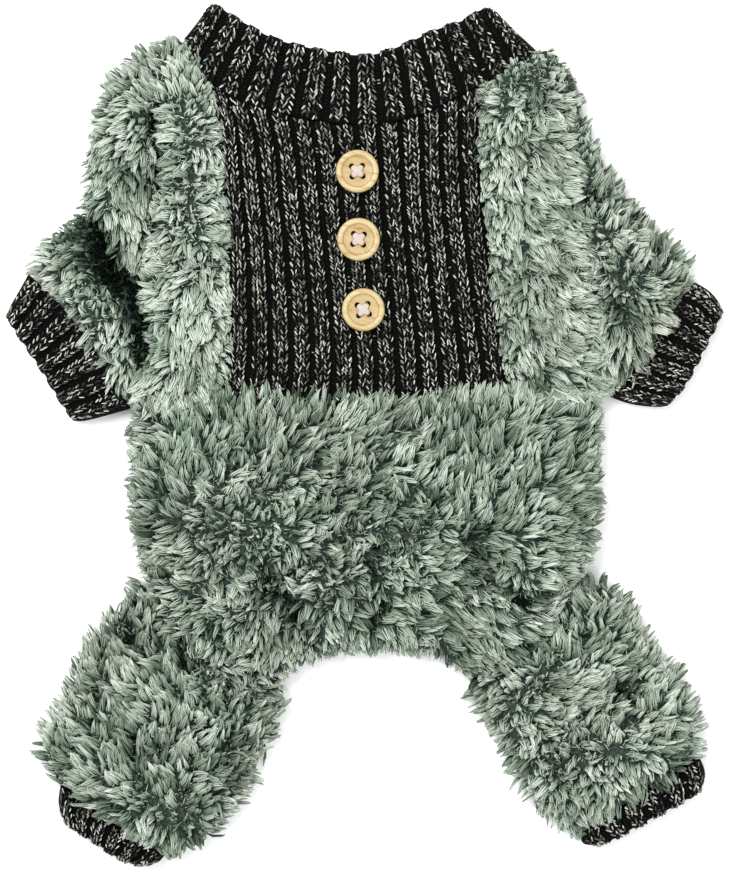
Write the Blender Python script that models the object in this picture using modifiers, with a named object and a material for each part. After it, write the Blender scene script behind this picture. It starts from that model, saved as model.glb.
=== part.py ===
"""Dog pajamas lying flat on their back: rib-knit collar, bib and cuffs, long-pile sleeves, legs and body."""

import math

import bmesh
import bpy
import numpy as np

MM = 0.001

# Driving sizes, in millimetres. The neck points to +Y and z = 0 is the surface the garment lies on.
SEAM_GAP = 0.4  # clearance left between two pieces sewn edge to edge
LAYER_GAP = 0.4  # clearance between the back and the pieces lying on it
BACK_LOFT = 7.5  # back fabric with its pile pressed down by the weight above
EDGE_LIP = 1.0  # thickness left at a panel edge that rounds over
KNIT_WALL = 3.2  # rib knit measured in a furrow
RIB_HEIGHT = 1.3  # how far a rib stands over its furrow
COLLAR_RIBS = 14  # across one face
BIB_RIBS = 13
FRONT_CUFF_RIBS = 7  # across one face
HIND_CUFF_RIBS = 6  # across one face
FUR_WALL = 6.0  # pile and backing at the folds of a fur tube
FUR_TURN = 9.0  # reach over which a fur tube rounds at its folds
RIB_TURN = 3.5  # the same for a rib tube
RIB_FLANKS = (0.15, 0.27, 0.73, 0.85)  # foot, crest, crest and foot of a rib, as shares of its pitch
BUTTON_WIDTH = 18.0
BUTTON_HOLE = 2.0
BUTTON_HOLE_PITCH = 4.1
BUTTON_LIFT = 0.3  # clearance over the rib crests that a button lies on
BUTTON_STEPS = 32
CURVE_STEPS = 12  # points between two rows of a seam table
BIB_ROWS = 8
NECK_ROWS = 2
STRIP_COLUMNS = 6
LIMB_COLUMNS = BIB_ROWS + NECK_ROWS  # sections from fold to fold, shared with the body at armhole and hip

FRONT_BASE = BACK_LOFT + LAYER_GAP
SLIT_MIDDLE = BACK_LOFT + LAYER_GAP / 2

# Seam lines seen from above, columns: x, y. Each is shared by the pieces on both sides of it.
SEAMS = {
    "shoulder_left": [(-90, 165), (-83, 167.5), (-76, 166.5)],
    "shoulder_right": [(72.5, 161.5), (77, 163), (81.5, 163)],
    "neck_left": [(-76, 166.5), (-71, 157), (-65.5, 148.5)],
    "neck_front": [(-65.5, 148.5), (-52, 140.5), (-26.5, 133), (0, 130.5), (24, 134.5), (48.5, 147)],
    "neck_right": [(48.5, 147), (62, 154.5), (72.5, 161.5)],
    "collar_rim": [(-66.5, 179.5), (-62, 181), (-52, 175), (-36.5, 167), (-14.5, 162), (1, 160.5),
                   (14, 164), (29.5, 171), (41, 175), (50.5, 180), (56, 175.5)],
    "collar_fold_left": [(-76, 166.5), (-71, 173), (-66.5, 179.5)],
    "collar_fold_right": [(72.5, 161.5), (64.5, 169), (56, 175.5)],
    "bib_left": [(-65.5, 148.5), (-61, 132), (-59, 107), (-57, 82), (-56.5, 57), (-57, 33), (-60, 14)],
    "bib_right": [(48.5, 147), (48, 124), (49.5, 98), (52.5, 72), (55.5, 52), (58, 35), (60.5, 17.5)],
    "waist_left": [(-97, 16.5), (-78, 12.5), (-60, 14)],
    "waist_middle": [(-60, 14), (-27, 13.5), (0, 13), (31.5, 14.5), (60.5, 17.5)],
    "waist_right": [(60.5, 17.5), (82, 15), (100, 20)],
    "armhole_left": [(-90, 165), (-88, 145), (-86.5, 128), (-86.5, 110), (-89.5, 92), (-92.5, 72),
                     (-94.5, 49), (-96, 31), (-97, 16.5)],
    "armhole_right": [(81.5, 163), (84.5, 145), (86.5, 128), (89, 112), (92, 89), (94.5, 66),
                      (98, 44), (100, 32), (100, 20)],
    "side_left": [(-97, 16.5), (-99.5, 2), (-100, -11), (-99.5, -31), (-98, -45), (-95.5, -56.5)],
    "side_right": [(100, 20), (100.5, 2), (100, -14), (100, -31), (98.5, -44), (94, -56.5)],
    "hip_left": [(-95.5, -56.5), (-88, -74), (-76, -87), (-56, -97), (-31.5, -103)],
    "hip_right": [(94, -56.5), (87, -70), (76, -83), (59, -96), (40.5, -104.5)],
    "crotch": [(-31.5, -103), (-26, -96), (-19, -93), (0, -92), (26, -93), (34, -97), (40.5, -104.5)],
    "sleeve_left_outer": [(-90, 165), (-99, 159.5), (-107.5, 150), (-112, 137), (-116.5, 124),
                          (-118, 112), (-116, 102), (-119.5, 95), (-127, 90.5), (-135.5, 83),
                          (-139, 75), (-141.5, 68)],
    "sleeve_left_under": [(-97, 16.5), (-98, 11)],
    "wrist_left": [(-141.5, 68), (-131.5, 58.5), (-123, 49), (-115.5, 39), (-109.5, 29),
                   (-104, 19.5), (-98, 11)],
    "cuff_left_outer": [(-141.5, 68), (-146, 60), (-151.5, 51)],
    "cuff_left_under": [(-98, 11), (-109, 8), (-122, 4.5)],
    "cuff_left_rim": [(-151.5, 51), (-146.5, 42), (-141, 34), (-134.5, 24), (-128.5, 14),
                      (-122, 4.5)],
    "sleeve_right_outer": [(81.5, 163), (87.5, 157), (90, 148), (91.5, 139), (95, 131), (98.5, 123),
                           (102.5, 115), (107.5, 107), (112.5, 99), (118, 90.5), (128, 82.5),
                           (136, 74.5), (139, 64.5)],
    "sleeve_right_under": [(100, 20), (102, 16.5)],
    "wrist_right": [(139, 64.5), (132, 55.5), (126, 46), (120, 36), (112, 26), (102, 16.5)],
    "cuff_right_outer": [(139, 64.5), (145.5, 60.5), (151.5, 53.5)],
    "cuff_right_under": [(102, 16.5), (112, 13), (126.5, 11)],
    "cuff_right_rim": [(151.5, 53.5), (148.5, 46), (144.5, 38), (140, 29), (134.5, 19.5), (126.5, 11)],
    "leg_left_outer": [(-95.5, -56.5), (-101, -68), (-110.5, -77.5), (-119, -87), (-123.5, -98),
                       (-128.5, -110.5), (-135, -120), (-138, -129), (-137, -137), (-133, -143),
                       (-128, -147)],
    "leg_left_inner": [(-31.5, -103), (-32, -111.5), (-34.5, -121), (-38.5, -130), (-43, -139),
                       (-47.5, -147), (-51.5, -155), (-57, -164), (-64, -171), (-73.5, -176),
                       (-84, -177)],
    "ankle_left": [(-128, -147), (-120.5, -152), (-112, -159), (-102, -166), (-92.5, -172.5),
                   (-84, -177)],
    "hind_cuff_left_outer": [(-128, -147), (-129, -155), (-126.5, -163.5)],
    "hind_cuff_left_inner": [(-84, -177), (-87, -180), (-93, -181)],
    "hind_cuff_left_rim": [(-126.5, -163.5), (-120, -168), (-113, -172.5), (-106.5, -177),
                           (-100, -180), (-93, -181)],
    "leg_right_outer": [(94, -56.5), (105, -61.5), (112.5, -70), (117.5, -78.5), (123, -87),
                        (128.5, -95.5), (134.5, -104), (141, -112), (144.5, -120), (144, -129),
                        (141, -135)],
    "leg_right_inner": [(40.5, -104.5), (45, -112), (50, -120), (55, -128.5), (59.5, -137),
                        (63.5, -145.5), (68, -154), (74.5, -161), (82, -165.5), (90.5, -167.5)],
    "ankle_right": [(141, -135), (131, -142), (121, -148.5), (110.5, -155), (100, -161.5),
                    (90.5, -167.5)],
    "hind_cuff_right_outer": [(141, -135), (143.5, -142), (142.5, -149)],
    "hind_cuff_right_inner": [(90.5, -167.5), (92, -172), (97, -173)],
    "hind_cuff_right_rim": [(142.5, -149), (136.5, -153.5), (128.5, -158), (121, -162),
                            (113.5, -166), (105, -170.5), (97, -173)],
}

# Largest folds of the pile, columns: points of the fold line, depth, half width. A minus depth swells.
FOLDS = [
    ([(-118, 96), (-109, 69), (-100, 47), (-92, 30)], 5.0, 6.0),
    ([(-104, 140), (-103, 118), (-98, 96)], -1.6, 11.0),
    ([(-88, 130), (-88, 95)], 2.2, 4.0),
    ([(94, 96), (97, 70), (101, 45)], 2.0, 6.0),
    ([(116, 62), (121, 68)], -1.5, 10.0),
    ([(-3, -50), (-3, -90)], 1.8, 6.0),
    ([(42, -51), (54, -59), (66, -66)], 2.6, 6.0),
    ([(-60, -20), (-10, -28), (40, -20)], -1.4, 22.0),
    ([(-88, -74), (-79, -90), (-72, -103)], 3.0, 6.0),
    ([(-118, -122), (-100, -126)], 2.0, 6.0),
    ([(86, -66), (76, -86), (62, -100)], 3.2, 6.0),
    ([(100, -112), (122, -124)], 1.6, 7.0),
]

# Height of the upper face of each fur piece, a row for each section, columns: share of the way
# along, height at the left or outer side, in the middle, and at the right or inner side.
CROWNS = {
    "chest_left": [(0.0, 15.0, 15.5, 15.5), (0.3, 17.5, 18.5, 17.5), (0.7, 17.5, 18.0, 17.0),
                   (1.0, 17.0, 17.5, 17.0)],
    "chest_right": [(0.0, 15.5, 15.5, 15.0), (0.3, 17.5, 18.5, 17.5), (0.7, 17.5, 18.5, 18.0),
                    (1.0, 17.0, 17.5, 17.5)],
    "belly": [(0.0, 17.0, 16.0, 17.0), (0.2, 17.5, 17.5, 17.5), (0.6, 18.0, 18.5, 18.0),
              (1.0, 16.5, 16.0, 16.5)],
    "sleeve_left": [(0.0, 16.5, 17.5, 16.0), (0.35, 18.5, 19.0, 16.5), (0.7, 17.0, 16.0, 14.5),
                    (1.0, 13.5, 14.0, 12.5)],
    "sleeve_right": [(0.0, 16.5, 17.5, 16.0), (0.35, 17.5, 18.0, 16.5), (0.7, 16.5, 17.0, 15.0),
                     (1.0, 13.5, 14.0, 12.5)],
    "leg_left": [(0.0, 17.0, 17.5, 16.5), (0.4, 18.5, 19.0, 18.0), (0.8, 18.0, 18.0, 17.0),
                 (1.0, 15.5, 15.5, 14.5)],
    "leg_right": [(0.0, 17.0, 17.5, 16.5), (0.4, 18.5, 19.0, 18.0), (0.8, 18.0, 18.0, 17.0),
                  (1.0, 15.5, 15.5, 14.5)],
}

# Where the two faces of each tube meet, columns: share of the way along, height, opening.
SLITS = {
    "sleeve": [(0.0, SLIT_MIDDLE, 0.8), (0.6, 7.2, 0.8), (1.0, 5.6, 0.8)],
    "leg": [(0.0, SLIT_MIDDLE, 0.8), (0.6, 7.2, 0.8), (1.0, 5.8, 0.8)],
    "cuff": [(0.0, 5.2, 0.8), (1.0, 5.0, 1.4)],
    "collar": [(0.0, SLIT_MIDDLE, 0.8), (0.5, 6.3, 1.0), (1.0, 5.3, 1.4)],
}

# Button centres, columns: x, y.
BUTTONS = {"button_top": (-3.0, 110.5), "button_middle": (-2.5, 82.0), "button_bottom": (-0.5, 52.5)}
# Turned outline of a button from its axis out and back, columns: share of its radius, height.
BUTTON_PROFILE = [(0.0, 0.0), (0.9, 0.0), (1.0, 0.9), (1.0, 2.5), (0.93, 3.3), (0.81, 3.4), (0.7, 2.4),
                  (0.0, 2.2)]

# Looks, columns: colour, roughness.
FINISHES = {
    "sage_fur": ((0.27, 0.34, 0.28), 0.95),
    "charcoal_rib_knit": ((0.05, 0.05, 0.047), 0.9),
    "pale_wood": ((0.74, 0.58, 0.32), 0.5),
}


def clear_scene():
    for thing in list(bpy.data.objects):
        bpy.data.objects.remove(thing)


def new_collection(name):
    made = bpy.data.collections.new(name)
    bpy.context.scene.collection.children.link(made)
    return made


def material_for(name, finish):
    colour, roughness = FINISHES[finish]
    made = bpy.data.materials.new(name + "_" + finish)
    made.use_nodes = True
    shader = made.node_tree.nodes["Principled BSDF"]
    shader.inputs["Base Color"].default_value = (*colour, 1.0)
    shader.inputs["Roughness"].default_value = roughness
    shader.inputs["Metallic"].default_value = 0.0
    made.diffuse_color = (*colour, 1.0)
    return made


def smooth_line(table):
    """A curve through every row of a table, as close points."""
    rows = np.array(table, float)
    if len(rows) < 3:
        return rows
    padded = np.vstack([2 * rows[0] - rows[1], rows, 2 * rows[-1] - rows[-2]])
    points = []
    for before, start, end, after in zip(padded, padded[1:], padded[2:], padded[3:]):
        for step in range(CURVE_STEPS):
            t = step / CURVE_STEPS
            points.append(0.5 * (2 * start + (end - before) * t
                                 + (2 * before - 5 * start + 4 * end - after) * t ** 2
                                 + (3 * start - before - 3 * end + after) * t ** 3))
    return np.array([*points, rows[-1]])


def lengths_along(points):
    steps = np.linalg.norm(np.diff(points, axis=0), axis=-1)
    return np.concatenate([np.zeros_like(steps[:1]), np.cumsum(steps, axis=0)])


def edge_of(*stretches):
    """Points along seams laid end to end. Each stretch is (seam, shares of its length, reversed)."""
    points = []
    for seam, shares, backwards in stretches:
        line = smooth_line(SEAMS[seam])
        if backwards:
            line = line[::-1]
        travelled = lengths_along(line)
        wanted = np.asarray(shares) * travelled[-1]
        found = np.stack([np.interp(wanted, travelled, line[:, axis]) for axis in (0, 1)], axis=-1)
        points.extend(found[1:] if points else found)
    return np.array(points)


def even(count):
    return np.linspace(0.0, 1.0, count + 1)


def crowded(count, start, end):
    """Shares of a length, closer together towards the ends that are asked for."""
    t = even(count)
    if start and end:
        return 0.35 * t + 0.65 * 0.5 * (1 - np.cos(math.pi * t))
    if start:
        return 0.35 * t + 0.65 * (1 - np.cos(0.5 * math.pi * t))
    return 0.35 * t + 0.65 * np.sin(0.5 * math.pi * t)


def rib_shares(ribs):
    """Shares of a width at the foot and crest of each rib, and how far each point is raised."""
    shares = [0.0]
    raised = [0.0]
    for rib in range(ribs):
        shares.extend((rib + flank) / ribs for flank in RIB_FLANKS)
        raised.extend((0.0, 1.0, 1.0, 0.0))
    return np.array([*shares, 1.0]), np.array([*raised, 0.0])


def patch(top, bottom, left, right):
    """Points inside four edges. Rows run from the top edge to the bottom, columns from left to right."""
    across = lengths_along(top) / lengths_along(top)[-1]
    across = 0.5 * (across + lengths_along(bottom) / lengths_along(bottom)[-1])
    down = lengths_along(left) / lengths_along(left)[-1]
    down = 0.5 * (down + lengths_along(right) / lengths_along(right)[-1])
    u = across[None, :, None]
    v = down[:, None, None]
    corners = ((1 - u) * (1 - v) * top[0] + u * (1 - v) * top[-1]
               + (1 - u) * v * bottom[0] + u * v * bottom[-1])
    plan = (1 - v) * top + v * bottom + (1 - u) * left[:, None] + u * right[:, None] - corners
    return plan, across, down


def pull_in(plan, sides, amount=SEAM_GAP / 2):
    """The plan with the named sides moved inwards, square to themselves."""
    moved = plan.copy()
    views = {"top": (plan, moved), "bottom": (plan[::-1], moved[::-1]),
             "left": (plan.swapaxes(0, 1), moved.swapaxes(0, 1)),
             "right": (plan.swapaxes(0, 1)[::-1], moved.swapaxes(0, 1)[::-1])}
    for side in sides:
        was, now = views[side]
        along = np.gradient(was[0], axis=0)
        inwards = np.stack([-along[:, 1], along[:, 0]], axis=-1)
        inwards *= np.sign(np.sum(inwards * (was[1] - was[0]), axis=-1, keepdims=True))
        now[0] += amount * inwards / np.linalg.norm(inwards, axis=-1, keepdims=True)
    return moved


def rounding(plan, edges):
    """Share of full height at each point. Edges maps a side to (share kept at the side, reach)."""
    share = np.ones(plan.shape[:2])
    for side, (kept, reach) in edges.items():
        turned = plan.swapaxes(0, 1) if side in ("left", "right") else plan
        if side in ("right", "bottom"):
            turned = turned[::-1]
        away = np.clip(lengths_along(turned) / reach, 0.0, 1.0)
        rise = kept + (1 - kept) * np.sqrt(1 - (1 - away) ** 2)
        if side in ("right", "bottom"):
            rise = rise[::-1]
        share *= rise.swapaxes(0, 1) if side in ("left", "right") else rise
    return share


def crown_over(table, across, down):
    rows = np.array(table)
    sides = np.stack([np.interp(down, rows[:, 0], rows[:, column]) for column in (1, 2, 3)], axis=-1)
    return np.array([np.interp(across, (0.0, 0.5, 1.0), row) for row in sides])


def fold_depth(plan):
    """How far the folds lower each point."""
    lowered = np.zeros(plan.shape[:2])
    for line, depth, half_width in FOLDS:
        nearest = np.full(plan.shape[:2], np.inf)
        for start, end in zip(np.array(line, float), np.array(line[1:], float)):
            run = end - start
            t = np.clip(np.sum((plan - start) * run, axis=-1) / np.sum(run * run), 0.0, 1.0)
            nearest = np.minimum(nearest, np.linalg.norm(plan - start - t[..., None] * run, axis=-1))
        lowered += depth * np.exp(-(nearest / half_width) ** 2)
    return lowered


def build(name, points, faces, finish, collection):
    """A closed body from its points, in millimetres, and its faces."""
    mesh = bpy.data.meshes.new(name)
    mesh.from_pydata([tuple(point) for point in np.asarray(points) * MM], [], faces)
    shape = bmesh.new()
    shape.from_mesh(mesh)
    bmesh.ops.recalc_face_normals(shape, faces=shape.faces)
    shape.to_mesh(mesh)
    shape.free()
    return finished(bpy.data.objects.new(name, mesh), finish, collection)


def finished(thing, finish, collection):
    collection.objects.link(thing)
    thing.data.materials.append(material_for(thing.name, finish))
    thing.data.shade_smooth()
    thing.data.set_sharp_from_angle(angle=math.radians(50))
    return thing


def raised_to(plan, heights):
    return np.concatenate([plan, heights[..., None]], axis=-1).reshape(-1, 3)


def panel(name, plan, upper, lower, finish, collection):
    """A sheet between an upper and a lower face over one plan."""
    rows, columns = upper.shape
    number = np.arange(rows * columns).reshape(rows, columns)
    faces = []
    for i in range(rows - 1):
        for j in range(columns - 1):
            corner = (number[i, j], number[i + 1, j], number[i + 1, j + 1], number[i, j + 1])
            faces.append(corner)
            faces.append(tuple(k + rows * columns for k in reversed(corner)))
    rim = [*number[0, :-1], *number[:-1, -1], *number[-1, :0:-1], *number[:0:-1, 0]]
    for here, there in zip(rim, rim[1:] + rim[:1]):
        faces.append((here, there, there + rows * columns, here + rows * columns))
    points = np.vstack([raised_to(plan, upper), raised_to(plan, lower)])
    return build(name, points, faces, finish, collection)


def ring_of(plan, upper, lower, middle):
    """Rings round a flattened tube: across the upper face, then back under it."""
    upper = upper.copy()
    upper[:, 0] = middle
    upper[:, -1] = middle
    over = np.concatenate([plan, upper[..., None]], axis=-1)
    under = np.concatenate([plan, lower[..., None]], axis=-1)[:, -2:0:-1]
    return np.concatenate([over, under], axis=1)


def narrowed(plan, wall):
    """Each row drawn in by the wall at both of its folds, easing off over three walls."""
    reach = 3 * wall
    rows = []
    for row in plan:
        travelled = lengths_along(row)
        near_start = np.clip(1 - travelled / reach, 0.0, 1.0)
        near_end = np.clip(1 - (travelled[-1] - travelled) / reach, 0.0, 1.0)
        wanted = travelled + wall * (near_start ** 2 - near_end ** 2)
        rows.append(np.stack([np.interp(wanted, travelled, row[:, axis]) for axis in (0, 1)], axis=-1))
    return np.array(rows)


def flat_tube(name, plan, upper, lower, slit, wall, finish, collection):
    """A hollow tube pressed flat. Slit gives the height and opening of its inside at each row."""
    middle, opening = slit
    inside = narrowed(plan, wall)
    half = 0.5 * opening[:, None] * np.ones_like(upper)
    outer = ring_of(plan, upper, lower, middle)
    inner = ring_of(inside, middle[:, None] + half, middle[:, None] - half, middle)
    rows, around = outer.shape[:2]
    number = np.arange(rows * around).reshape(rows, around)
    hollow = number + rows * around
    faces = []
    for j in range(around):
        k = (j + 1) % around
        for i in range(rows - 1):
            faces.append((number[i, j], number[i + 1, j], number[i + 1, k], number[i, k]))
            faces.append((hollow[i, k], hollow[i + 1, k], hollow[i + 1, j], hollow[i, j]))
        faces.append((number[0, j], number[0, k], hollow[0, k], hollow[0, j]))
        faces.append((number[-1, k], number[-1, j], hollow[-1, j], hollow[-1, k]))
    points = np.vstack([outer.reshape(-1, 3), inner.reshape(-1, 3)])
    return build(name, points, faces, finish, collection)


def slit_at(table, down):
    rows = np.array(table)
    return np.interp(down, rows[:, 0], rows[:, 1]), np.interp(down, rows[:, 0], rows[:, 2])


def fur_panel(name, edges, pulled, rounded, collection):
    """A front piece of fur fabric, lying on the back piece."""
    plan, across, down = patch(*edges)
    plan = pull_in(plan, pulled)
    lip = FRONT_BASE + EDGE_LIP
    crown = crown_over(CROWNS[name], across, down) - fold_depth(plan)
    upper = lip + (crown - lip) * rounding(plan, rounded)
    panel(name, plan, upper, np.full_like(upper, FRONT_BASE), "sage_fur", collection)


def fur_tube(name, edges, kind, ends, collection):
    """A sleeve or leg of fur fabric, both faces in one."""
    plan, across, down = patch(*edges)
    plan = pull_in(plan, ("top", "bottom"))
    slit = slit_at(SLITS[kind], down)
    middle = slit[0][:, None]
    crown = crown_over(CROWNS[name], across, down) - fold_depth(plan)
    folds = {"left": (0.0, FUR_TURN), "right": (0.0, FUR_TURN)}
    upper = middle + (crown - middle) * rounding(plan, {**folds, **ends})
    lower = middle * (1 - rounding(plan, folds))
    flat_tube(name, plan, upper, lower, slit, FUR_WALL, "sage_fur", collection)


def rib_tube(name, edges, raised, kind, collection):
    """A cuff or collar of rib knit, both faces in one, plain inside."""
    plan, _, down = patch(*edges)
    plan = pull_in(plan, ("top", "bottom"))
    slit = slit_at(SLITS[kind], down)
    middle = slit[0][:, None]
    share = rounding(plan, {"left": (0.0, RIB_TURN), "right": (0.0, RIB_TURN)})
    reach = (0.5 * slit[1][:, None] + KNIT_WALL + RIB_HEIGHT * raised) * share
    lower = np.maximum(middle - reach, 0.0)
    flat_tube(name, plan, middle + reach, lower, slit, KNIT_WALL, "charcoal_rib_knit", collection)


def make_back(collection):
    top = edge_of(("shoulder_left", even(1), False), ("neck_left", even(2), False),
                  ("neck_front", even(10), False), ("neck_right", even(2), False),
                  ("shoulder_right", even(1), False))
    bottom = edge_of(("crotch", crowded(16, True, True), False))
    limb = crowded(LIMB_COLUMNS, True, True)
    left = edge_of(("armhole_left", limb, False), ("side_left", even(4), False),
                   ("hip_left", limb, False))
    right = edge_of(("armhole_right", limb, False), ("side_right", even(4), False),
                    ("hip_right", limb, False))
    plan, _, _ = patch(top, bottom, left, right)
    plan = pull_in(pull_in(plan, ("top",), SEAM_GAP), ("left", "right"))
    share = rounding(plan, {"left": (0.55, 7.0), "right": (0.55, 7.0), "bottom": (0.1, 7.0)})
    lower = (BACK_LOFT - EDGE_LIP) * (1 - share)
    panel("back", plan, np.full_like(lower, BACK_LOFT), lower, "sage_fur", collection)


def make_front(collection):
    limb = crowded(LIMB_COLUMNS, True, True)
    strip = crowded(STRIP_COLUMNS, True, True)
    left_strip = (edge_of(("shoulder_left", strip, False)), edge_of(("waist_left", strip, False)),
                  edge_of(("armhole_left", limb, False)),
                  edge_of(("neck_left", even(NECK_ROWS), False), ("bib_left", even(BIB_ROWS), False)))
    right_strip = (edge_of(("shoulder_right", strip, False)), edge_of(("waist_right", strip, False)),
                   edge_of(("neck_right", even(NECK_ROWS), True), ("bib_right", even(BIB_ROWS), False)),
                   edge_of(("armhole_right", limb, False)))
    sides = ("top", "bottom", "left", "right")
    rounded = {"top": (0.6, 6.0), "bottom": (0.8, 5.0), "left": (0.72, 6.0), "right": (0.6, 6.0)}
    fur_panel("chest_left", left_strip, sides, rounded, collection)
    rounded = {**rounded, "left": (0.6, 6.0), "right": (0.72, 6.0)}
    fur_panel("chest_right", right_strip, sides, rounded, collection)

    belly = (edge_of(("waist_left", strip, False), ("waist_middle", even(8), False),
                     ("waist_right", strip, False)),
             edge_of(("crotch", crowded(8 + 2 * STRIP_COLUMNS, True, True), False)),
             edge_of(("side_left", even(6), False), ("hip_left", limb, False)),
             edge_of(("side_right", even(6), False), ("hip_right", limb, False)))
    rounded = {"top": (0.7, 5.0), "bottom": (0.05, 8.0), "left": (0.3, 8.0), "right": (0.3, 8.0)}
    fur_panel("belly", belly, sides, rounded, collection)


def make_bib(collection):
    shares, raised = rib_shares(BIB_RIBS)
    edges = (edge_of(("neck_front", shares, False)), edge_of(("waist_middle", shares, False)),
             edge_of(("bib_left", even(BIB_ROWS), False)), edge_of(("bib_right", even(BIB_ROWS), False)))
    plan, _, down = patch(*edges)
    plan = pull_in(plan, ("top", "bottom", "left", "right"))
    upper = FRONT_BASE + KNIT_WALL + RIB_HEIGHT * raised * np.ones((len(down), 1))
    panel("bib", plan, upper, np.full_like(upper, FRONT_BASE), "charcoal_rib_knit", collection)


def make_collar(collection):
    shares, raised = rib_shares(COLLAR_RIBS)
    seam = edge_of(("neck_left", even(200), False), ("neck_front", even(400), False),
                   ("neck_right", even(200), False))
    travelled = lengths_along(seam) / lengths_along(seam)[-1]
    seam = np.stack([np.interp(shares, travelled, seam[:, axis]) for axis in (0, 1)], axis=-1)
    edges = (seam, edge_of(("collar_rim", shares, False)),
             edge_of(("collar_fold_left", even(4), False)),
             edge_of(("collar_fold_right", even(4), False)))
    rib_tube("collar", edges, raised, "collar", collection)


def make_limbs(collection):
    """Each limb is a fur tube and a rib tube. Across a limb runs from its outer fold to its inner one."""
    across = crowded(LIMB_COLUMNS, True, True)
    ends = {"top": (0.72, 5.0), "bottom": (0.45, 7.0)}
    for side in ("left", "right"):
        sleeve = (edge_of(("armhole_" + side, across, False)), edge_of(("wrist_" + side, across, False)),
                  edge_of(("sleeve_" + side + "_outer", even(11), False)),
                  edge_of(("sleeve_" + side + "_under", even(11), False)))
        fur_tube("sleeve_" + side, sleeve, "sleeve", ends, collection)
        leg = (edge_of(("hip_" + side, across, False)), edge_of(("ankle_" + side, across, False)),
               edge_of(("leg_" + side + "_outer", even(11), False)),
               edge_of(("leg_" + side + "_inner", even(11), False)))
        fur_tube("leg_" + side, leg, "leg", ends, collection)

        shares, raised = rib_shares(FRONT_CUFF_RIBS)
        cuff = (edge_of(("wrist_" + side, shares, False)), edge_of(("cuff_" + side + "_rim", shares, False)),
                edge_of(("cuff_" + side + "_outer", even(3), False)),
                edge_of(("cuff_" + side + "_under", even(3), False)))
        rib_tube("cuff_front_" + side, cuff, raised, "cuff", collection)
        shares, raised = rib_shares(HIND_CUFF_RIBS)
        cuff = (edge_of(("ankle_" + side, shares, False)),
                edge_of(("hind_cuff_" + side + "_rim", shares, False)),
                edge_of(("hind_cuff_" + side + "_outer", even(3), False)),
                edge_of(("hind_cuff_" + side + "_inner", even(3), False)))
        rib_tube("cuff_hind_" + side, cuff, raised, "cuff", collection)


def turned_button(name, centre, base):
    mesh = bpy.data.meshes.new(name)
    outline = [(share * BUTTON_WIDTH / 2 * MM, 0.0, height * MM) for share, height in BUTTON_PROFILE]
    mesh.from_pydata(outline, [(i, i + 1) for i in range(len(outline) - 1)], [])
    button = bpy.data.objects.new(name, mesh)
    button.location = (centre[0] * MM, centre[1] * MM, base * MM)
    turn = button.modifiers.new("turn", "SCREW")
    turn.axis = "Z"
    turn.steps = BUTTON_STEPS
    turn.render_steps = BUTTON_STEPS
    turn.use_merge_vertices = True
    turn.merge_threshold = 0.00001
    return button


def hole_cutter(name, centre, base, collection):
    """Four drills joined in one mesh."""
    shape = bmesh.new()
    for dx, dy in ((-1, -1), (-1, 1), (1, -1), (1, 1)):
        drill = bmesh.ops.create_cone(shape, cap_ends=True, segments=12, radius1=BUTTON_HOLE / 2 * MM,
                                      radius2=BUTTON_HOLE / 2 * MM, depth=10 * MM)
        offset = (dx * BUTTON_HOLE_PITCH / 2 * MM, dy * BUTTON_HOLE_PITCH / 2 * MM, 0.0)
        bmesh.ops.translate(shape, verts=drill["verts"], vec=offset)
    mesh = bpy.data.meshes.new(name)
    shape.to_mesh(mesh)
    shape.free()
    cutter = bpy.data.objects.new(name, mesh)
    cutter.location = (centre[0] * MM, centre[1] * MM, (base + 1.5) * MM)
    cutter.hide_render = True
    collection.objects.link(cutter)
    return cutter


def with_modifiers_applied(thing):
    bpy.context.view_layer.update()
    shown = thing.evaluated_get(bpy.context.evaluated_depsgraph_get())
    thing.data = bpy.data.meshes.new_from_object(shown)
    thing.modifiers.clear()
    return thing


def make_buttons(collection, cutters):
    base = FRONT_BASE + KNIT_WALL + RIB_HEIGHT + BUTTON_LIFT
    for name, centre in BUTTONS.items():
        button = turned_button(name, centre, base)
        cutters.objects.link(button)
        cut = button.modifiers.new("holes", "BOOLEAN")
        cut.operation = "DIFFERENCE"
        cut.solver = "EXACT"
        cut.object = hole_cutter(name + "_holes", centre, base, cutters)
        with_modifiers_applied(button)
        cutters.objects.unlink(button)
        finished(button, "pale_wood", collection)


def main():
    clear_scene()
    pajamas = new_collection("dog_pajamas")
    cutters = new_collection("cutters")
    cutters.hide_render = True
    make_back(pajamas)
    make_front(pajamas)
    make_bib(pajamas)
    make_collar(pajamas)
    make_limbs(pajamas)
    make_buttons(pajamas, cutters)


main()
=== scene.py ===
import math

import bmesh
import bpy
import numpy as np
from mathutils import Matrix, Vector
from mathutils.bvhtree import BVHTree


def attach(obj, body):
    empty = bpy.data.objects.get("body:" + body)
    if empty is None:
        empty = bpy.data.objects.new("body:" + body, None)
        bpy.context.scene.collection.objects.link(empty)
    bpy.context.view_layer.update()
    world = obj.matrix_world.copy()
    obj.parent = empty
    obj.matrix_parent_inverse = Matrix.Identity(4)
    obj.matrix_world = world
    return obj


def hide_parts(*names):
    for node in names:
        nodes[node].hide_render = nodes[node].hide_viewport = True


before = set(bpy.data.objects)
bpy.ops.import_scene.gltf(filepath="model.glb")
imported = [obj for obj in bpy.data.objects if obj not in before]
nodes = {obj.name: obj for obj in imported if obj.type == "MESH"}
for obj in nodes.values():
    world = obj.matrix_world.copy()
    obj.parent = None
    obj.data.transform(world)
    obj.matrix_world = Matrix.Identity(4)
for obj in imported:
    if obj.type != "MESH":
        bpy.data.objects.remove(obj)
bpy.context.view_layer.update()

# Lengths below are in millimetres. The garment lies on its back, neck towards +Y, tabletop at z = 0.
metresPerMm = 0.001
curvePoints = 12  # points drawn between two rows of a seam line
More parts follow.
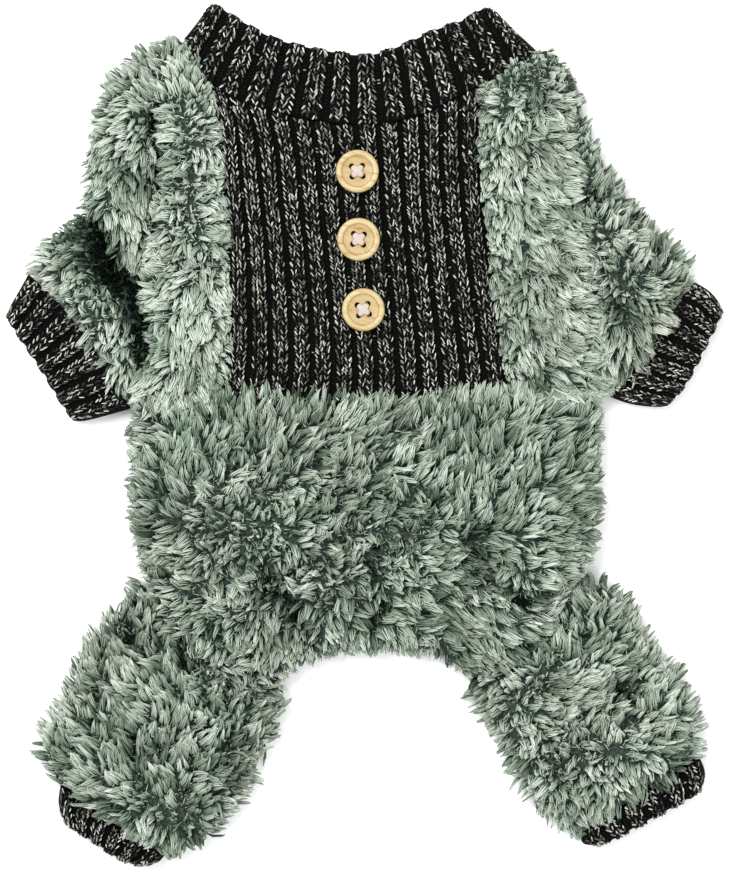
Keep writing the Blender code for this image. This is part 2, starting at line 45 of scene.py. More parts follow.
shadeSteps = 16  # yarn and pile shades side by side in each map, dark to light
shadeMargin = 0.04  # left free at both sides of a shade's strip of the map, so shades never mix
faceMargin = 0.03  # the same for one face of a strand
strandSides = 3  # a strand or a ply is a three-sided tube, a little flattened
strandFlatness = 0.9

# Seam lines seen from above, as x, y. A piece on either side of a seam uses the same line.
seamLines = {
    "shoulderLeft": [(-90, 165), (-83, 167.5), (-76, 166.5)],
    "shoulderRight": [(72.5, 161.5), (77, 163), (81.5, 163)],
    "neckLeft": [(-76, 166.5), (-71, 157), (-65.5, 148.5)],
    "neckFront": [(-65.5, 148.5), (-52, 140.5), (-26.5, 133), (0, 130.5), (24, 134.5), (48.5, 147)],
    "neckRight": [(48.5, 147), (62, 154.5), (72.5, 161.5)],
    "collarRim": [(-66.5, 179.5), (-62, 181), (-52, 175), (-36.5, 167), (-14.5, 162), (1, 160.5),
                  (14, 164), (29.5, 171), (41, 175), (50.5, 180), (56, 175.5)],
    "collarFoldLeft": [(-76, 166.5), (-71, 173), (-66.5, 179.5)],
    "collarFoldRight": [(72.5, 161.5), (64.5, 169), (56, 175.5)],
    "bibLeft": [(-65.5, 148.5), (-61, 132), (-59, 107), (-57, 82), (-56.5, 57), (-57, 33), (-60, 14)],
    "bibRight": [(48.5, 147), (48, 124), (49.5, 98), (52.5, 72), (55.5, 52), (58, 35), (60.5, 17.5)],
    "waistLeft": [(-97, 16.5), (-78, 12.5), (-60, 14)],
    "waistMiddle": [(-60, 14), (-27, 13.5), (0, 13), (31.5, 14.5), (60.5, 17.5)],
    "waistRight": [(60.5, 17.5), (82, 15), (100, 20)],
    "armholeLeft": [(-90, 165), (-88, 145), (-86.5, 128), (-86.5, 110), (-89.5, 92), (-92.5, 72),
                    (-94.5, 49), (-96, 31), (-97, 16.5)],
    "armholeRight": [(81.5, 163), (84.5, 145), (86.5, 128), (89, 112), (92, 89), (94.5, 66),
                     (98, 44), (100, 32), (100, 20)],
    "sideLeft": [(-97, 16.5), (-99.5, 2), (-100, -11), (-99.5, -31), (-98, -45), (-95.5, -56.5)],
    "sideRight": [(100, 20), (100.5, 2), (100, -14), (100, -31), (98.5, -44), (94, -56.5)],
    "hipLeft": [(-95.5, -56.5), (-88, -74), (-76, -87), (-56, -97), (-31.5, -103)],
    "hipRight": [(94, -56.5), (87, -70), (76, -83), (59, -96), (40.5, -104.5)],
    "crotch": [(-31.5, -103), (-26, -96), (-19, -93), (0, -92), (26, -93), (34, -97), (40.5, -104.5)],
    "sleeveLeftOuter": [(-90, 165), (-98, 158.5), (-105.5, 149), (-110, 137), (-114, 124),
                        (-115.5, 112), (-115, 103), (-119.5, 96), (-127, 91), (-135.5, 83.5),
                        (-139, 75), (-141.5, 68)],
    "sleeveLeftUnder": [(-97, 16.5), (-98, 11)],
    "wristLeft": [(-141.5, 68), (-131.5, 58.5), (-123, 49), (-115.5, 39), (-109.5, 29),
                  (-104, 19.5), (-98, 11)],
    "cuffLeftOuter": [(-141.5, 68), (-146, 60), (-151.5, 51)],
    "cuffLeftUnder": [(-98, 11), (-109, 8), (-122, 4.5)],
    "cuffLeftRim": [(-151.5, 51), (-146.5, 42), (-141, 34), (-134.5, 24), (-128.5, 14), (-122, 4.5)],
    "sleeveRightOuter": [(81.5, 163), (86, 156), (88, 148), (90, 139), (93, 131), (97, 123),
                         (101, 115), (106, 107), (111, 99), (117.5, 91), (128, 83.5),
                         (136, 74.5), (139, 64.5)],
    "sleeveRightUnder": [(100, 20), (102, 16.5)],
    "wristRight": [(139, 64.5), (132, 55.5), (126, 46), (120, 36), (112, 26), (102, 16.5)],
    "cuffRightOuter": [(139, 64.5), (145.5, 60.5), (151.5, 53.5)],
    "cuffRightUnder": [(102, 16.5), (112, 13), (126.5, 11)],
    "cuffRightRim": [(151.5, 53.5), (148.5, 46), (144.5, 38), (140, 29), (134.5, 19.5), (126.5, 11)],
    "legLeftOuter": [(-95.5, -56.5), (-101, -68), (-110.5, -77.5), (-119, -87), (-123.5, -98),
                     (-128.5, -110.5), (-135, -120), (-137, -129), (-135.5, -136), (-131.5, -141.5),
                     (-128, -147)],
    "legLeftInner": [(-31.5, -103), (-32, -111.5), (-34.5, -121), (-38.5, -130), (-43, -139),
                     (-47.5, -147), (-51.5, -155), (-57, -163), (-64, -169), (-73.5, -173.5),
                     (-84, -177)],
    "ankleLeft": [(-128, -147), (-120.5, -152), (-112, -159), (-102, -166), (-92.5, -172.5),
                  (-84, -177)],
    "hindCuffLeftOuter": [(-128, -147), (-129, -155), (-126.5, -163.5)],
    "hindCuffLeftInner": [(-84, -177), (-87, -180), (-93, -181)],
    "hindCuffLeftRim": [(-126.5, -163.5), (-120, -168), (-113, -172.5), (-106.5, -177),
                        (-100, -180), (-93, -181)],
    "legRightOuter": [(94, -56.5), (105, -61.5), (112.5, -70), (117.5, -78.5), (123, -87),
                      (128.5, -95.5), (134.5, -104), (139.5, -112), (142, -120), (142, -129),
                      (141, -135)],
    "legRightInner": [(40.5, -104.5), (45, -112), (50, -120), (55, -128.5), (59.5, -137),
                      (63.5, -145.5), (68, -154), (74.5, -161), (82, -165.5), (90.5, -167.5)],
    "ankleRight": [(141, -135), (131, -142), (121, -148.5), (110.5, -155), (100, -161.5),
                   (90.5, -167.5)],
    "hindCuffRightOuter": [(141, -135), (143.5, -142), (142.5, -149)],
    "hindCuffRightInner": [(90.5, -167.5), (92, -172), (97, -173)],
    "hindCuffRightRim": [(142.5, -149), (136.5, -153.5), (128.5, -158), (121, -162), (113.5, -166),
                         (105, -170.5), (97, -173)],
}


def colour(code):
    parts = [int(code[i:i + 2], 16) / 255 for i in (1, 3, 5)]
    return (*[p / 12.92 if p <= 0.04045 else ((p + 0.055) / 1.055) ** 2.4 for p in parts], 1.0)


def newMaterial(name):
    material = bpy.data.materials.new(name)
    material.use_nodes = True
    return material


def addNode(material, kind, settings=None, links=None):
    node = material.node_tree.nodes.new(kind)
    for key, value in (settings or {}).items():
        if key == "stops":  # a ramp's stops, as place and colour
            ramp = node.color_ramp
            while len(ramp.elements) < len(value):
                ramp.elements.new(1.0)
            for element, (place, code) in zip(ramp.elements, value):
                element.position = place
                element.color = colour(code)
        elif isinstance(key, int) or key in node.inputs:
            node.inputs[key].default_value = value
        else:
            setattr(node, key, value)
    for key, source in (links or {}).items():
        material.node_tree.links.new(source, node.inputs[key])
    return node


def finished(material, links, settings):
    # links carry what changes over the surface, settings what is the same all over it
    shader = material.node_tree.nodes["Principled BSDF"]
    for socket, source in links.items():
        material.node_tree.links.new(source, shader.inputs[socket])
    for socket, value in settings.items():
        shader.inputs[socket].default_value = value
    return material


def smoothCurve(rows):
    rows = np.array(rows, float)
    if len(rows) < 3:
        return rows
    ends = np.vstack([2 * rows[0] - rows[1], rows, 2 * rows[-1] - rows[-2]])
    points = []
    for before, start, end, after in zip(ends, ends[1:], ends[2:], ends[3:]):
        for t in np.arange(curvePoints) / curvePoints:
            points.append(0.5 * (2 * start + (end - before) * t
                                 + (2 * before - 5 * start + 4 * end - after) * t ** 2
                                 + (3 * start - before - 3 * end + after) * t ** 3))
    return np.array([*points, rows[-1]])


def runLengths(points):
    steps = np.linalg.norm(np.diff(points, axis=0), axis=-1)
    return np.concatenate([np.zeros_like(steps[:1]), np.cumsum(steps, axis=0)])


def seamEdge(names, shares):
    # a minus before a seam's name runs it backwards
    lines = [smoothCurve(seamLines[name.lstrip("-")])[::-1 if name[0] == "-" else 1] for name in names]
    line = np.concatenate(lines)
    run = runLengths(line)
    return np.stack([np.interp(shares * run[-1], run, line[:, axis]) for axis in (0, 1)], axis=-1)


def clothPlan(edges, across, down):
    # the seen outline of a piece filled with rows of points, top edge first
    top, bottom = (seamEdge(edges[side], across) for side in ("top", "bottom"))
    left, right = (seamEdge(edges[side], down) for side in ("left", "right"))
    u = across[None, :, None]
    v = down[:, None, None]
    corners = ((1 - u) * (1 - v) * top[0] + u * (1 - v) * top[-1]
               + (1 - u) * v * bottom[0] + u * v * bottom[-1])
    return (1 - v) * top + v * bottom + (1 - u) * left[:, None] + u * right[:, None] - corners


def drawnIn(plan, start, end, reach=9.0):
    # every row shortened by start and end at its two ends, easing off over the reach
    rows = []
    for row in plan:
        run = runLengths(row)
        wanted = run + start * np.exp(-run / reach) - end * np.exp(-(run[-1] - run) / reach)
        rows.append(np.stack([np.interp(wanted, run, row[:, axis]) for axis in (0, 1)], axis=-1))
    return np.array(rows)


def turnedIn(plan, sides):
    # the plan drawn in at its left, right, top and bottom
    left, right, top, bottom = sides
    return drawnIn(drawnIn(plan, left, right).swapaxes(0, 1), top, bottom).swapaxes(0, 1)


def atHeight(plan, heights):
    # x, y points with their z
    return np.concatenate([plan, heights[..., None]], axis=-1)


def tubeGrid(plan, upper, lower):
    # out over the upper side of a tube and back along its lower side
    return np.concatenate([atHeight(plan, upper), atHeight(plan, lower)[:, -2:0:-1]], axis=1)


def fromFolds(plan):
    # how far every point lies from the nearer end of its row
    run = runLengths(plan.swapaxes(0, 1)).swapaxes(0, 1)
    return np.minimum(run, run[:, -1:] - run)


def quarterRound(away, radius):
    # 0 at an edge, 1 from the radius on, with a quarter circle between them
    return np.sqrt(1 - (1 - np.clip(away / radius, 0, 1)) ** 2)


def cadHeights(node, plan, above):
    # height of a CAD node's upper or lower face under each point of a plan
    mesh = nodes[node].data
    tree = BVHTree.FromPolygons([v.co[:] for v in mesh.vertices], [p.vertices[:] for p in mesh.polygons])
    side = 1.0 if above else -1.0
    faceHeight = 0.017 if above else 0.0  # metres, about where that face lies
    heights = np.empty(plan.shape[:2])
    for at in np.ndindex(heights.shape):
        x, y = plan[at] * metresPerMm
        found = tree.ray_cast((x, y, side), (0, 0, -side))[0]
        if found is None:  # a hair outside the solid, so its nearest point counts
            found = tree.find_nearest((x, y, faceHeight))[0]
        heights[at] = found.z / metresPerMm
    return heights


def unit(vectors):
    return vectors / np.maximum(np.linalg.norm(vectors, axis=-1, keepdims=True), 1e-9)


def gridNormals(grid, ring):
    # ring: the columns close on themselves
    if ring:
        acrossStep = np.roll(grid, -1, axis=1) - np.roll(grid, 1, axis=1)
    else:
        acrossStep = np.gradient(grid, axis=1)
    normals = np.cross(acrossStep, np.gradient(grid, axis=0))
    upperSide = normals[:, :grid.shape[1] // (2 if ring else 1)]
    if upperSide[..., 2].sum() < 0:
        normals = -normals
    return unit(normals)


def meshPiece(name, points, quads, triangles, quadUvs=None, triangleUvs=None):
    mesh = bpy.data.meshes.new(name)
    corners = np.concatenate([quads.ravel(), triangles.ravel()]).astype(np.int32)
    starts = np.concatenate([np.arange(len(quads)) * 4, 4 * len(quads) + np.arange(len(triangles)) * 3])
    mesh.vertices.add(len(points))
    mesh.vertices.foreach_set("co", (points * metresPerMm).astype(np.float32).ravel())
    mesh.loops.add(len(corners))
    mesh.loops.foreach_set("vertex_index", corners)
    mesh.polygons.add(len(starts))
    mesh.polygons.foreach_set("loop_start", starts.astype(np.int32))
    mesh.update(calc_edges=True)
    if quadUvs is not None:
        uvs = np.concatenate([quadUvs.reshape(-1, 2), triangleUvs.reshape(-1, 2)])
        layer = mesh.uv_layers.new(name="OFBake")
        layer.data.foreach_set("uv", uvs.astype(np.float32).ravel())
    mesh.shade_smooth()
    piece = bpy.data.objects.new(name, mesh)
    bpy.context.scene.collection.objects.link(piece)
    return piece


def trianglesIn(piece):
    return sum(len(face.vertices) - 2 for face in piece.data.polygons)


def closedShell(name, outer, inner, ring):
    # two faces of one cloth joined along every open edge
    rows, columns = outer.shape[:2]
    faceSize = rows * columns
    number = np.arange(faceSize).reshape(rows, columns)
    far = number + faceSize
    wrap = np.arange(1, columns + 1) % columns if ring else np.arange(1, columns)
    here = np.arange(len(wrap))
    a, b = number[:-1, here], number[1:, here]
    c, d = number[1:, wrap], number[:-1, wrap]
    quads = [np.stack([a, b, c, d], -1).reshape(-1, 4),
             np.stack([d, c, b, a], -1).reshape(-1, 4) + faceSize,
             np.stack([number[0, here], number[0, wrap], far[0, wrap], far[0, here]], -1),
             np.stack([number[-1, wrap], number[-1, here], far[-1, here], far[-1, wrap]], -1)]
    if not ring:
        quads.append(np.stack([number[1:, 0], number[:-1, 0], far[:-1, 0], far[1:, 0]], -1))
        quads.append(np.stack([number[:-1, -1], number[1:, -1], far[1:, -1], far[:-1, -1]], -1))
    points = np.concatenate([outer.reshape(-1, 3), inner.reshape(-1, 3)])
    piece = meshPiece(name, points, np.concatenate(quads), np.empty((0, 3), int))
    shape = bmesh.new()
    shape.from_mesh(piece.data)
    bmesh.ops.recalc_face_normals(shape, faces=shape.faces)
    shape.to_mesh(piece.data)
    shape.free()
    return piece


def sweptYarns(name, paths, ups, radii, flatness, sides, shades):
    # one pointed tube along each path, with its shade and length laid out in the map
    count, stations = paths.shape[:2]
    along = unit(np.gradient(paths, axis=1))
    across = unit(np.cross(along, ups))
    lift = np.cross(across, along)
    turn = 2 * math.pi * np.arange(sides) / sides + math.pi / 2  # the first corner of a ring is its top
    rings = (paths[:, 1:-1, None]
             + radii[:, 1:-1, None, None] * (np.cos(turn)[:, None] * across[:, 1:-1, None]
                                             + flatness * np.sin(turn)[:, None] * lift[:, 1:-1, None]))
    middle = stations - 2
    points = np.concatenate([rings.reshape(count, -1, 3), paths[:, :1], paths[:, -1:]], axis=1)
    perYarn = middle * sides + 2
    ring = np.arange(middle * sides).reshape(middle, sides)
    after = np.roll(ring, -1, axis=1)
    quads = np.stack([ring[:-1], after[:-1], after[1:], ring[1:]], -1).reshape(-1, 4)
    triangles = np.concatenate([
        np.stack([after[0], ring[0], np.full(sides, perYarn - 2)], -1),
        np.stack([ring[-1], after[-1], np.full(sides, perYarn - 1)], -1)])
    base = np.arange(count)[:, None, None] * perYarn

    left = (np.arange(sides) + faceMargin) / sides
    right = (np.arange(sides) + (1 - faceMargin)) / sides
    half = 0.5 * (left + right)

    def corner(turned, station):
        return np.stack([turned, np.full(sides, station / (stations - 1))], -1)

    quadUv = np.array([np.stack([corner(left, k), corner(right, k),
                                 corner(right, k + 1), corner(left, k + 1)], 1)
                       for k in range(1, stations - 2)]).reshape(-1, 4, 2)
    last = stations - 1
    triangleUv = np.concatenate([
        np.stack([corner(right, 1), corner(left, 1), corner(half, 0)], 1),
        np.stack([corner(left, last - 1), corner(right, last - 1), corner(half, last)], 1)])
    column = np.clip((shades * shadeSteps).astype(int), 0, shadeSteps - 1)[:, None, None]

    def placed(uv):
        spread = np.broadcast_to(uv[None], (count, *uv.shape)).copy()
        spread[..., 0] = (column + shadeMargin + (1 - 2 * shadeMargin) * spread[..., 0]) / shadeSteps
        return spread

    return meshPiece(name, points.reshape(-1, 3), (quads[None] + base).reshape(-1, 4),
                     (triangles[None] + base).reshape(-1, 3), placed(quadUv), placed(triangleUv))


def ripple(points, size, seed):
    # a smooth uneven pattern from -1 to 1, with hills about that many millimetres across
    dice = np.random.default_rng(seed)
    waves = 6
    total = np.zeros(len(points))
    for _ in range(waves):
        heading = dice.uniform(0, 2 * math.pi)
        wave = 2 * math.pi / (size * dice.uniform(1.3, 3.2))
        total += np.sin(wave * (points[:, 0] * math.cos(heading) + points[:, 1] * math.sin(heading))
                        + dice.uniform(0, 6.3))
    return np.clip(total / (waves / 2), -1, 1)


def between(values, i, j, k, u, v):
    # read v of the way from row i to the next and u of the way from column j to k
    return ((1 - v) * ((1 - u) * values[i, j] + u * values[i, k])
            + v * ((1 - u) * values[i + 1, j] + u * values[i + 1, k]))


def thrown(grid, normals, ring, perArea, keep, dice):
    # points dropped at random on a grid, so many to a square millimetre
    if ring:
        grid = np.concatenate([grid, grid[:, :1]], axis=1)
        normals = np.concatenate([normals, normals[:, :1]], axis=1)
    diagonals = np.cross(grid[1:, 1:] - grid[:-1, :-1], grid[1:, :-1] - grid[:-1, 1:])
    areas = np.linalg.norm(diagonals, axis=-1) / 2
    tries = int(areas.sum() * perArea)
    cell = dice.choice(areas.size, tries, p=(areas / areas.sum()).ravel())
    i, j = np.divmod(cell, areas.shape[1])
    u, v = dice.random((2, tries, 1))
    points = between(grid, i, j, j + 1, u, v)
    facing = unit(between(normals, i, j, j + 1, u, v))
    good = keep(facing[:, 2])
    return points[good], facing[good]


def scattered(grid, normals, ring, spacing, keep, dice):
    # points spread evenly over a grid, at least the spacing apart
    throws = 9  # for every square of that spacing, most of them dropped again
    points, facing = thrown(grid, normals, ring, throws / spacing ** 2, keep, dice)
    boxes = {}
    chosen = []
    homes = np.floor(points / spacing).astype(int)
    for n, (point, home) in enumerate(zip(points, homes)):
        x, y, z = home
        near = [m for dx in (-1, 0, 1) for dy in (-1, 0, 1) for dz in (-1, 0, 1)
                for m in boxes.get((x + dx, y + dy, z + dz), ())]
        if near and (np.sum((points[near] - point) ** 2, axis=-1) < spacing ** 2).any():
            continue
        boxes.setdefault((x, y, z), []).append(n)
        chosen.append(n)
    return points[chosen], facing[chosen]


pile = {
    "depth": 5.6,  # how high the pile stands over its backing
    "undersideDepth": 2.2,  # the same where the garment lies on it
    "lockSpacing": 1.9,
    "undersideSpacing": 5.2,
    "lockLength": 10.8,
    "lockWidth": 1.2,  # half the width of a lock at its middle
    "strandsPerLock": 5,
    "strandRadius": 0.35,
    "sway": 0.2,  # how far a strand wanders from its lock's line
    "restlessness": 28.0,  # how far an upright lock strays from its tuft's lie, in degrees
    "tuftStray": 42.0,  # the same for a whole tuft
    "edgeTrim": 0.5,  # how much shorter a lock is along an open edge of its piece
    "edgeReach": 8.5,
    "creaseTrim": 0.4,  # how much shorter a lock is in a crease of depth 1
    "locksPerTuft": 6,
    "tuftPull": 0.4,  # how far the tips of a tuft's locks draw together
    "leastLean": 34.0,  # degrees from upright of a lock whose table row says 0
    "leanLimits": (16.0, 84.0),
    "uprightLength": 0.62,  # length of a lock that stands up, as a share of lockLength
    "strandStations": (0.03, 0.43, 0.84, 1.0),  # where a strand has its points, as shares of a lock
    "lockOutline": (0.35, 1.0, 0.62, 0.1),  # its strands' spread at those points
    "strandWander": (0, 1, -0.7, 0.8),
    "strandTaper": (0.5, 1.05, 0.9, 0.14),
    "undercoat": 0.28,  # short pile between the locks, strands to a square millimetre
    "undercoatLength": 6.2,
    "undercoatRadius": 0.42,
    "hemStrands": 2.4,  # over the cut edge of the back piece, strands to a millimetre
    "hemRise": 3.6,  # how far the back piece turns up to meet the front along its open edges
    "tableGap": 0.35,  # strands that come low bend to keep this far over the tabletop
    "tableEase": 1.65,
    "patchShade": (0.13, 0.14),  # how far the shade drifts over about 6 and 14 mm
    "lockShade": 0.11,  # and from lock to lock and tuft to tuft
    "tuftShade": 0.1,
    "creaseShade": 0.55,  # painted shade: how much darker the pile is painted in a crease of depth 1
    "edgeLight": 0.22,  # light comes through the thin edge
    "panelBacking": 2.0,
    "limbBacking": 1.4,
    "leastCloth": 1.6,
    "foldTurn": 6.0,  # radius of the folds at a limb's sides
}

# Where the pile parts or is pressed in, as points along the fold, depth and half width. Locks there are
# shorter, and painted darker as painted shade for the fold.
creases = [
    ([(-112, 88), (-109, 76), (-104, 66), (-98, 60), (-94, 51), (-93, 35)], 1.9, 5.4),
    ([(-117, 86), (-112, 74), (-108, 66)], 1.0, 8.0),
    ([(-87, 134), (-86, 122), (-85, 108)], 1.6, 3.4),
    ([(-88, 109), (-91, 84), (-93, 69), (-92, 45)], 1.4, 3.0),
    ([(84, 128), (90, 116), (93, 96)], 0.75, 3.2),
    ([(104, 60), (107, 52)], 0.6, 4.0),
    ([(-43, -54), (-29, -71), (-22, -86)], 0.65, 3.5),
    ([(-10, -45), (-10, -58)], 0.5, 2.5),
    ([(3, -46), (4, -58), (7, -66), (2, -76)], 0.6, 2.6),
    ([(27, 4), (28, -10), (27, -20)], 0.5, 2.2),
    ([(44, -56), (54, -59), (63, -64)], 0.7, 4.5),
    ([(-86, -80), (-80, -89), (-74, -101)], 0.7, 4.0),
    ([(-101, -88), (-92, -92), (-84, -88)], 0.6, 2.2),
    ([(-107, -109), (-98, -119)], 0.5, 3.2),
    ([(88, -62), (84, -71), (89, -80), (94, -88)], 0.75, 3.2),
    ([(71, -91), (61, -100)], 0.8, 4.0),
    ([(104, -106), (112, -119)], 0.6, 4.2),
    ([(74, -138), (85, -142)], 0.55, 3.2),
]


def creaseAt(points):
    creaseDepth = np.zeros(len(points))
    for line, depth, halfWidth in creases:
        nearest = np.full(len(points), np.inf)
        for start, end in zip(np.array(line, float), np.array(line[1:], float)):
            run = end - start
            t = np.clip((points[:, :2] - start) @ run / (run @ run), 0.0, 1.0)
            nearest = np.minimum(nearest, np.linalg.norm(points[:, :2] - start - t[:, None] * run, axis=-1))
        creaseDepth = np.maximum(creaseDepth, depth * np.exp(-(nearest / halfWidth) ** 2))
    return creaseDepth


def combedLie(points, guides):
    # heading and lean of the pile, drawn from the nearest rows of a piece's combing table
    table = np.array(guides, float)
    blend = 5.0  # a row has its full say within about this distance
    away = np.sum((points[:, None, :2] - table[None, :, :2]) ** 2, axis=-1)
    weight = 1 / (away + blend ** 2) ** 2.2
    weight /= weight.sum(axis=1, keepdims=True)
    heading = np.radians(table[:, 2])
    pull = np.stack([weight @ np.cos(heading), weight @ np.sin(heading)], axis=-1)
    return np.arctan2(pull[:, 1], pull[:, 0]), weight @ table[:, 3], np.linalg.norm(pull, axis=-1)


def edgeNearness(points, names):
    # 1 on the named seam lines, easing to 0 away from them
    line = np.concatenate([smoothCurve(seamLines[name]) for name in names])
    away = np.linalg.norm(points[:, None, :2] - line[None], axis=-1).min(axis=1)
    return np.exp(-(away / pile["edgeReach"]) ** 2)


def cutEdge(outer, inner, perLength, dice):
    # points thrown over the cut edge of a flat piece, each with the way that edge faces
    roots = []
    facing = []
    bottom = (outer[-1], inner[-1])
    left = (outer[:, 0], inner[:, 0])
    right = (outer[::-1, -1], inner[::-1, -1])
    for low, high in (bottom, left, right):
        run = runLengths(low)
        at = dice.uniform(0, run[-1], int(perLength * run[-1]))
        part = np.searchsorted(run, at, side="right").clip(1, len(run) - 1)
        share = ((at - run[part - 1]) / (run[part] - run[part - 1]))[:, None]
        up = dice.uniform(0.1, 0.9, (len(at), 1))
        start = low[part - 1] + up * (high[part - 1] - low[part - 1])
        end = low[part] + up * (high[part] - low[part])
        along = unit(end - start)
        roots.append(start + share * (end - start))
        facing.append(np.stack([along[:, 1], -along[:, 0], dice.normal(0, 0.3, len(at))], axis=-1))
    return np.concatenate(roots), unit(np.concatenate(facing))


def growUndercoat(name, roots, facing, piece, dice, scale=1.0):
    # short single strands that fill the pile between the locks
    count = len(roots)
    heading, lean, agreement = combedLie(roots, piece["combing"])
    heading += dice.normal(0, 0.9, count)
    tilt = np.radians(np.clip(lean * agreement * 0.8 + dice.normal(0, 24, count), -72, 72))[:, None]
    comb = np.stack([np.cos(heading), np.sin(heading), np.zeros(count)], axis=-1)
    way = unit(np.cos(tilt) * facing + np.sin(tilt) * comb)
    length = pile["undercoatLength"] * scale * dice.uniform(0.6, 1.1, (count, 1))
    length = length * (1 - 0.6 * edgeNearness(roots, piece["openEdges"])[:, None])
    middle = roots + 0.4 * length * way
    tips = roots + length * way + dice.normal(0, 0.5, (count, 3))
    path = np.stack([roots - 0.4 * facing, middle, tips], axis=1)
    path[..., 2] = np.maximum(path[..., 2], 0.4)
    ups = np.repeat(facing[:, None], 3, axis=1)
    radii = pile["undercoatRadius"] * dice.uniform(0.7, 1.2, (count, 1)) * np.ones((1, 3))
    # painted shade: the undercoat a little darker than the locks over it, and darker still in a crease
    shade = piece["shade"] - 0.07 - 0.6 * creaseAt(roots) + dice.normal(0, 0.14, count)
    return sweptYarns(name, path, ups, radii, strandFlatness, strandSides, shade)


def tuftOf(roots, dice):
    # the number of the tuft that every lock belongs to
    middles = roots[dice.choice(len(roots), max(1, len(roots) // pile["locksPerTuft"]), replace=False)]
    return np.linalg.norm(roots[:, None] - middles[None], axis=-1).argmin(axis=1)


def perTuft(tuft, dice):
    return dice.normal(size=tuft.max() + 1)[tuft]


def lockLines(roots, facing, piece, tuft, creaseDepth, dice, scale):
    # the middle line of every lock, and the way across it
    count = len(roots)
    seed = piece["seed"]
    heading, lean, agreement = combedLie(roots, piece["combing"])
    # where rows of the table pull apart the pile stands up and strays, so no bare spot opens
    parting = 1 - np.clip(1.3 * agreement, 0.15, 1.0)
    lean = lean * (1 - parting)
    loose = np.clip((74 - lean) / 44, 0.18, 1.15)  # long combed pile keeps its direction, short pile curls
    heading += loose * (0.35 * ripple(roots, 20, seed) + 0.3 * ripple(roots, 8, seed + 5))
    heading += loose * np.radians(pile["restlessness"] * dice.normal(size=count)
                                  + pile["tuftStray"] * perTuft(tuft, dice))
    slope = piece.get("flatter", 0.0) + pile["leastLean"] + lean * (1 - pile["leastLean"] / 90)
    slope = slope * (1 - 0.55 * parting)
    slope = np.radians(np.clip(slope + 8 * ripple(roots, 9, seed + 1) + dice.normal(0, 6, count),
                               *pile["leanLimits"]))
    comb = np.stack([np.cos(heading), np.sin(heading), np.zeros(count)], axis=-1)
    # over the top the lie follows the slope of the cloth, round its edges it stays level
    slant = np.sum(comb * facing, axis=-1, keepdims=True) * (facing[:, 2:] > 0.6)
    comb = unit(comb - slant * facing)
    beside = unit(np.cross(facing, comb))
    length = pile["lockLength"] * scale * np.clip(0.5 + 0.5 * lean / 60, pile["uprightLength"], 1.0)
    length = length * (1 + 0.16 * dice.normal(size=count) + 0.12 * ripple(roots, 7, seed + 2))
    length = length * (1 - pile["creaseTrim"] * np.minimum(creaseDepth, 1.6))
    length = length * (1 - pile["edgeTrim"] * edgeNearness(roots, piece["openEdges"]))
    curl = (0.2 + 0.9 * loose) * dice.normal(0, 1.0, count) + 0.55 * ripple(roots, 9, seed + 3)

    steps = 12
    s = (np.arange(steps) + 0.5) / steps
    tilt = np.clip(slope[:, None] * (0.35 + 1.1 * s), 0, 1.75)[..., None]
    swing = (curl[:, None] * (s - 0.2))[..., None] * 1.3
    way = (np.cos(tilt) * facing[:, None]
           + np.sin(tilt) * (np.cos(swing) * comb[:, None] + np.sin(swing) * beside[:, None]))
    middle = np.cumsum(way, axis=1) * (length / steps)[:, None, None]
    middle = np.concatenate([np.zeros((count, 1, 3)), middle], axis=1) + roots[:, None]
    tips = np.stack([np.bincount(tuft, middle[:, -1, axis]) / np.maximum(np.bincount(tuft), 1)
                     for axis in range(3)], axis=-1)
    draw = pile["tuftPull"] * np.linspace(0, 1, steps + 1)[None, :, None] ** 1.5
    return middle + draw * (tips[tuft] - middle[:, -1])[:, None], beside


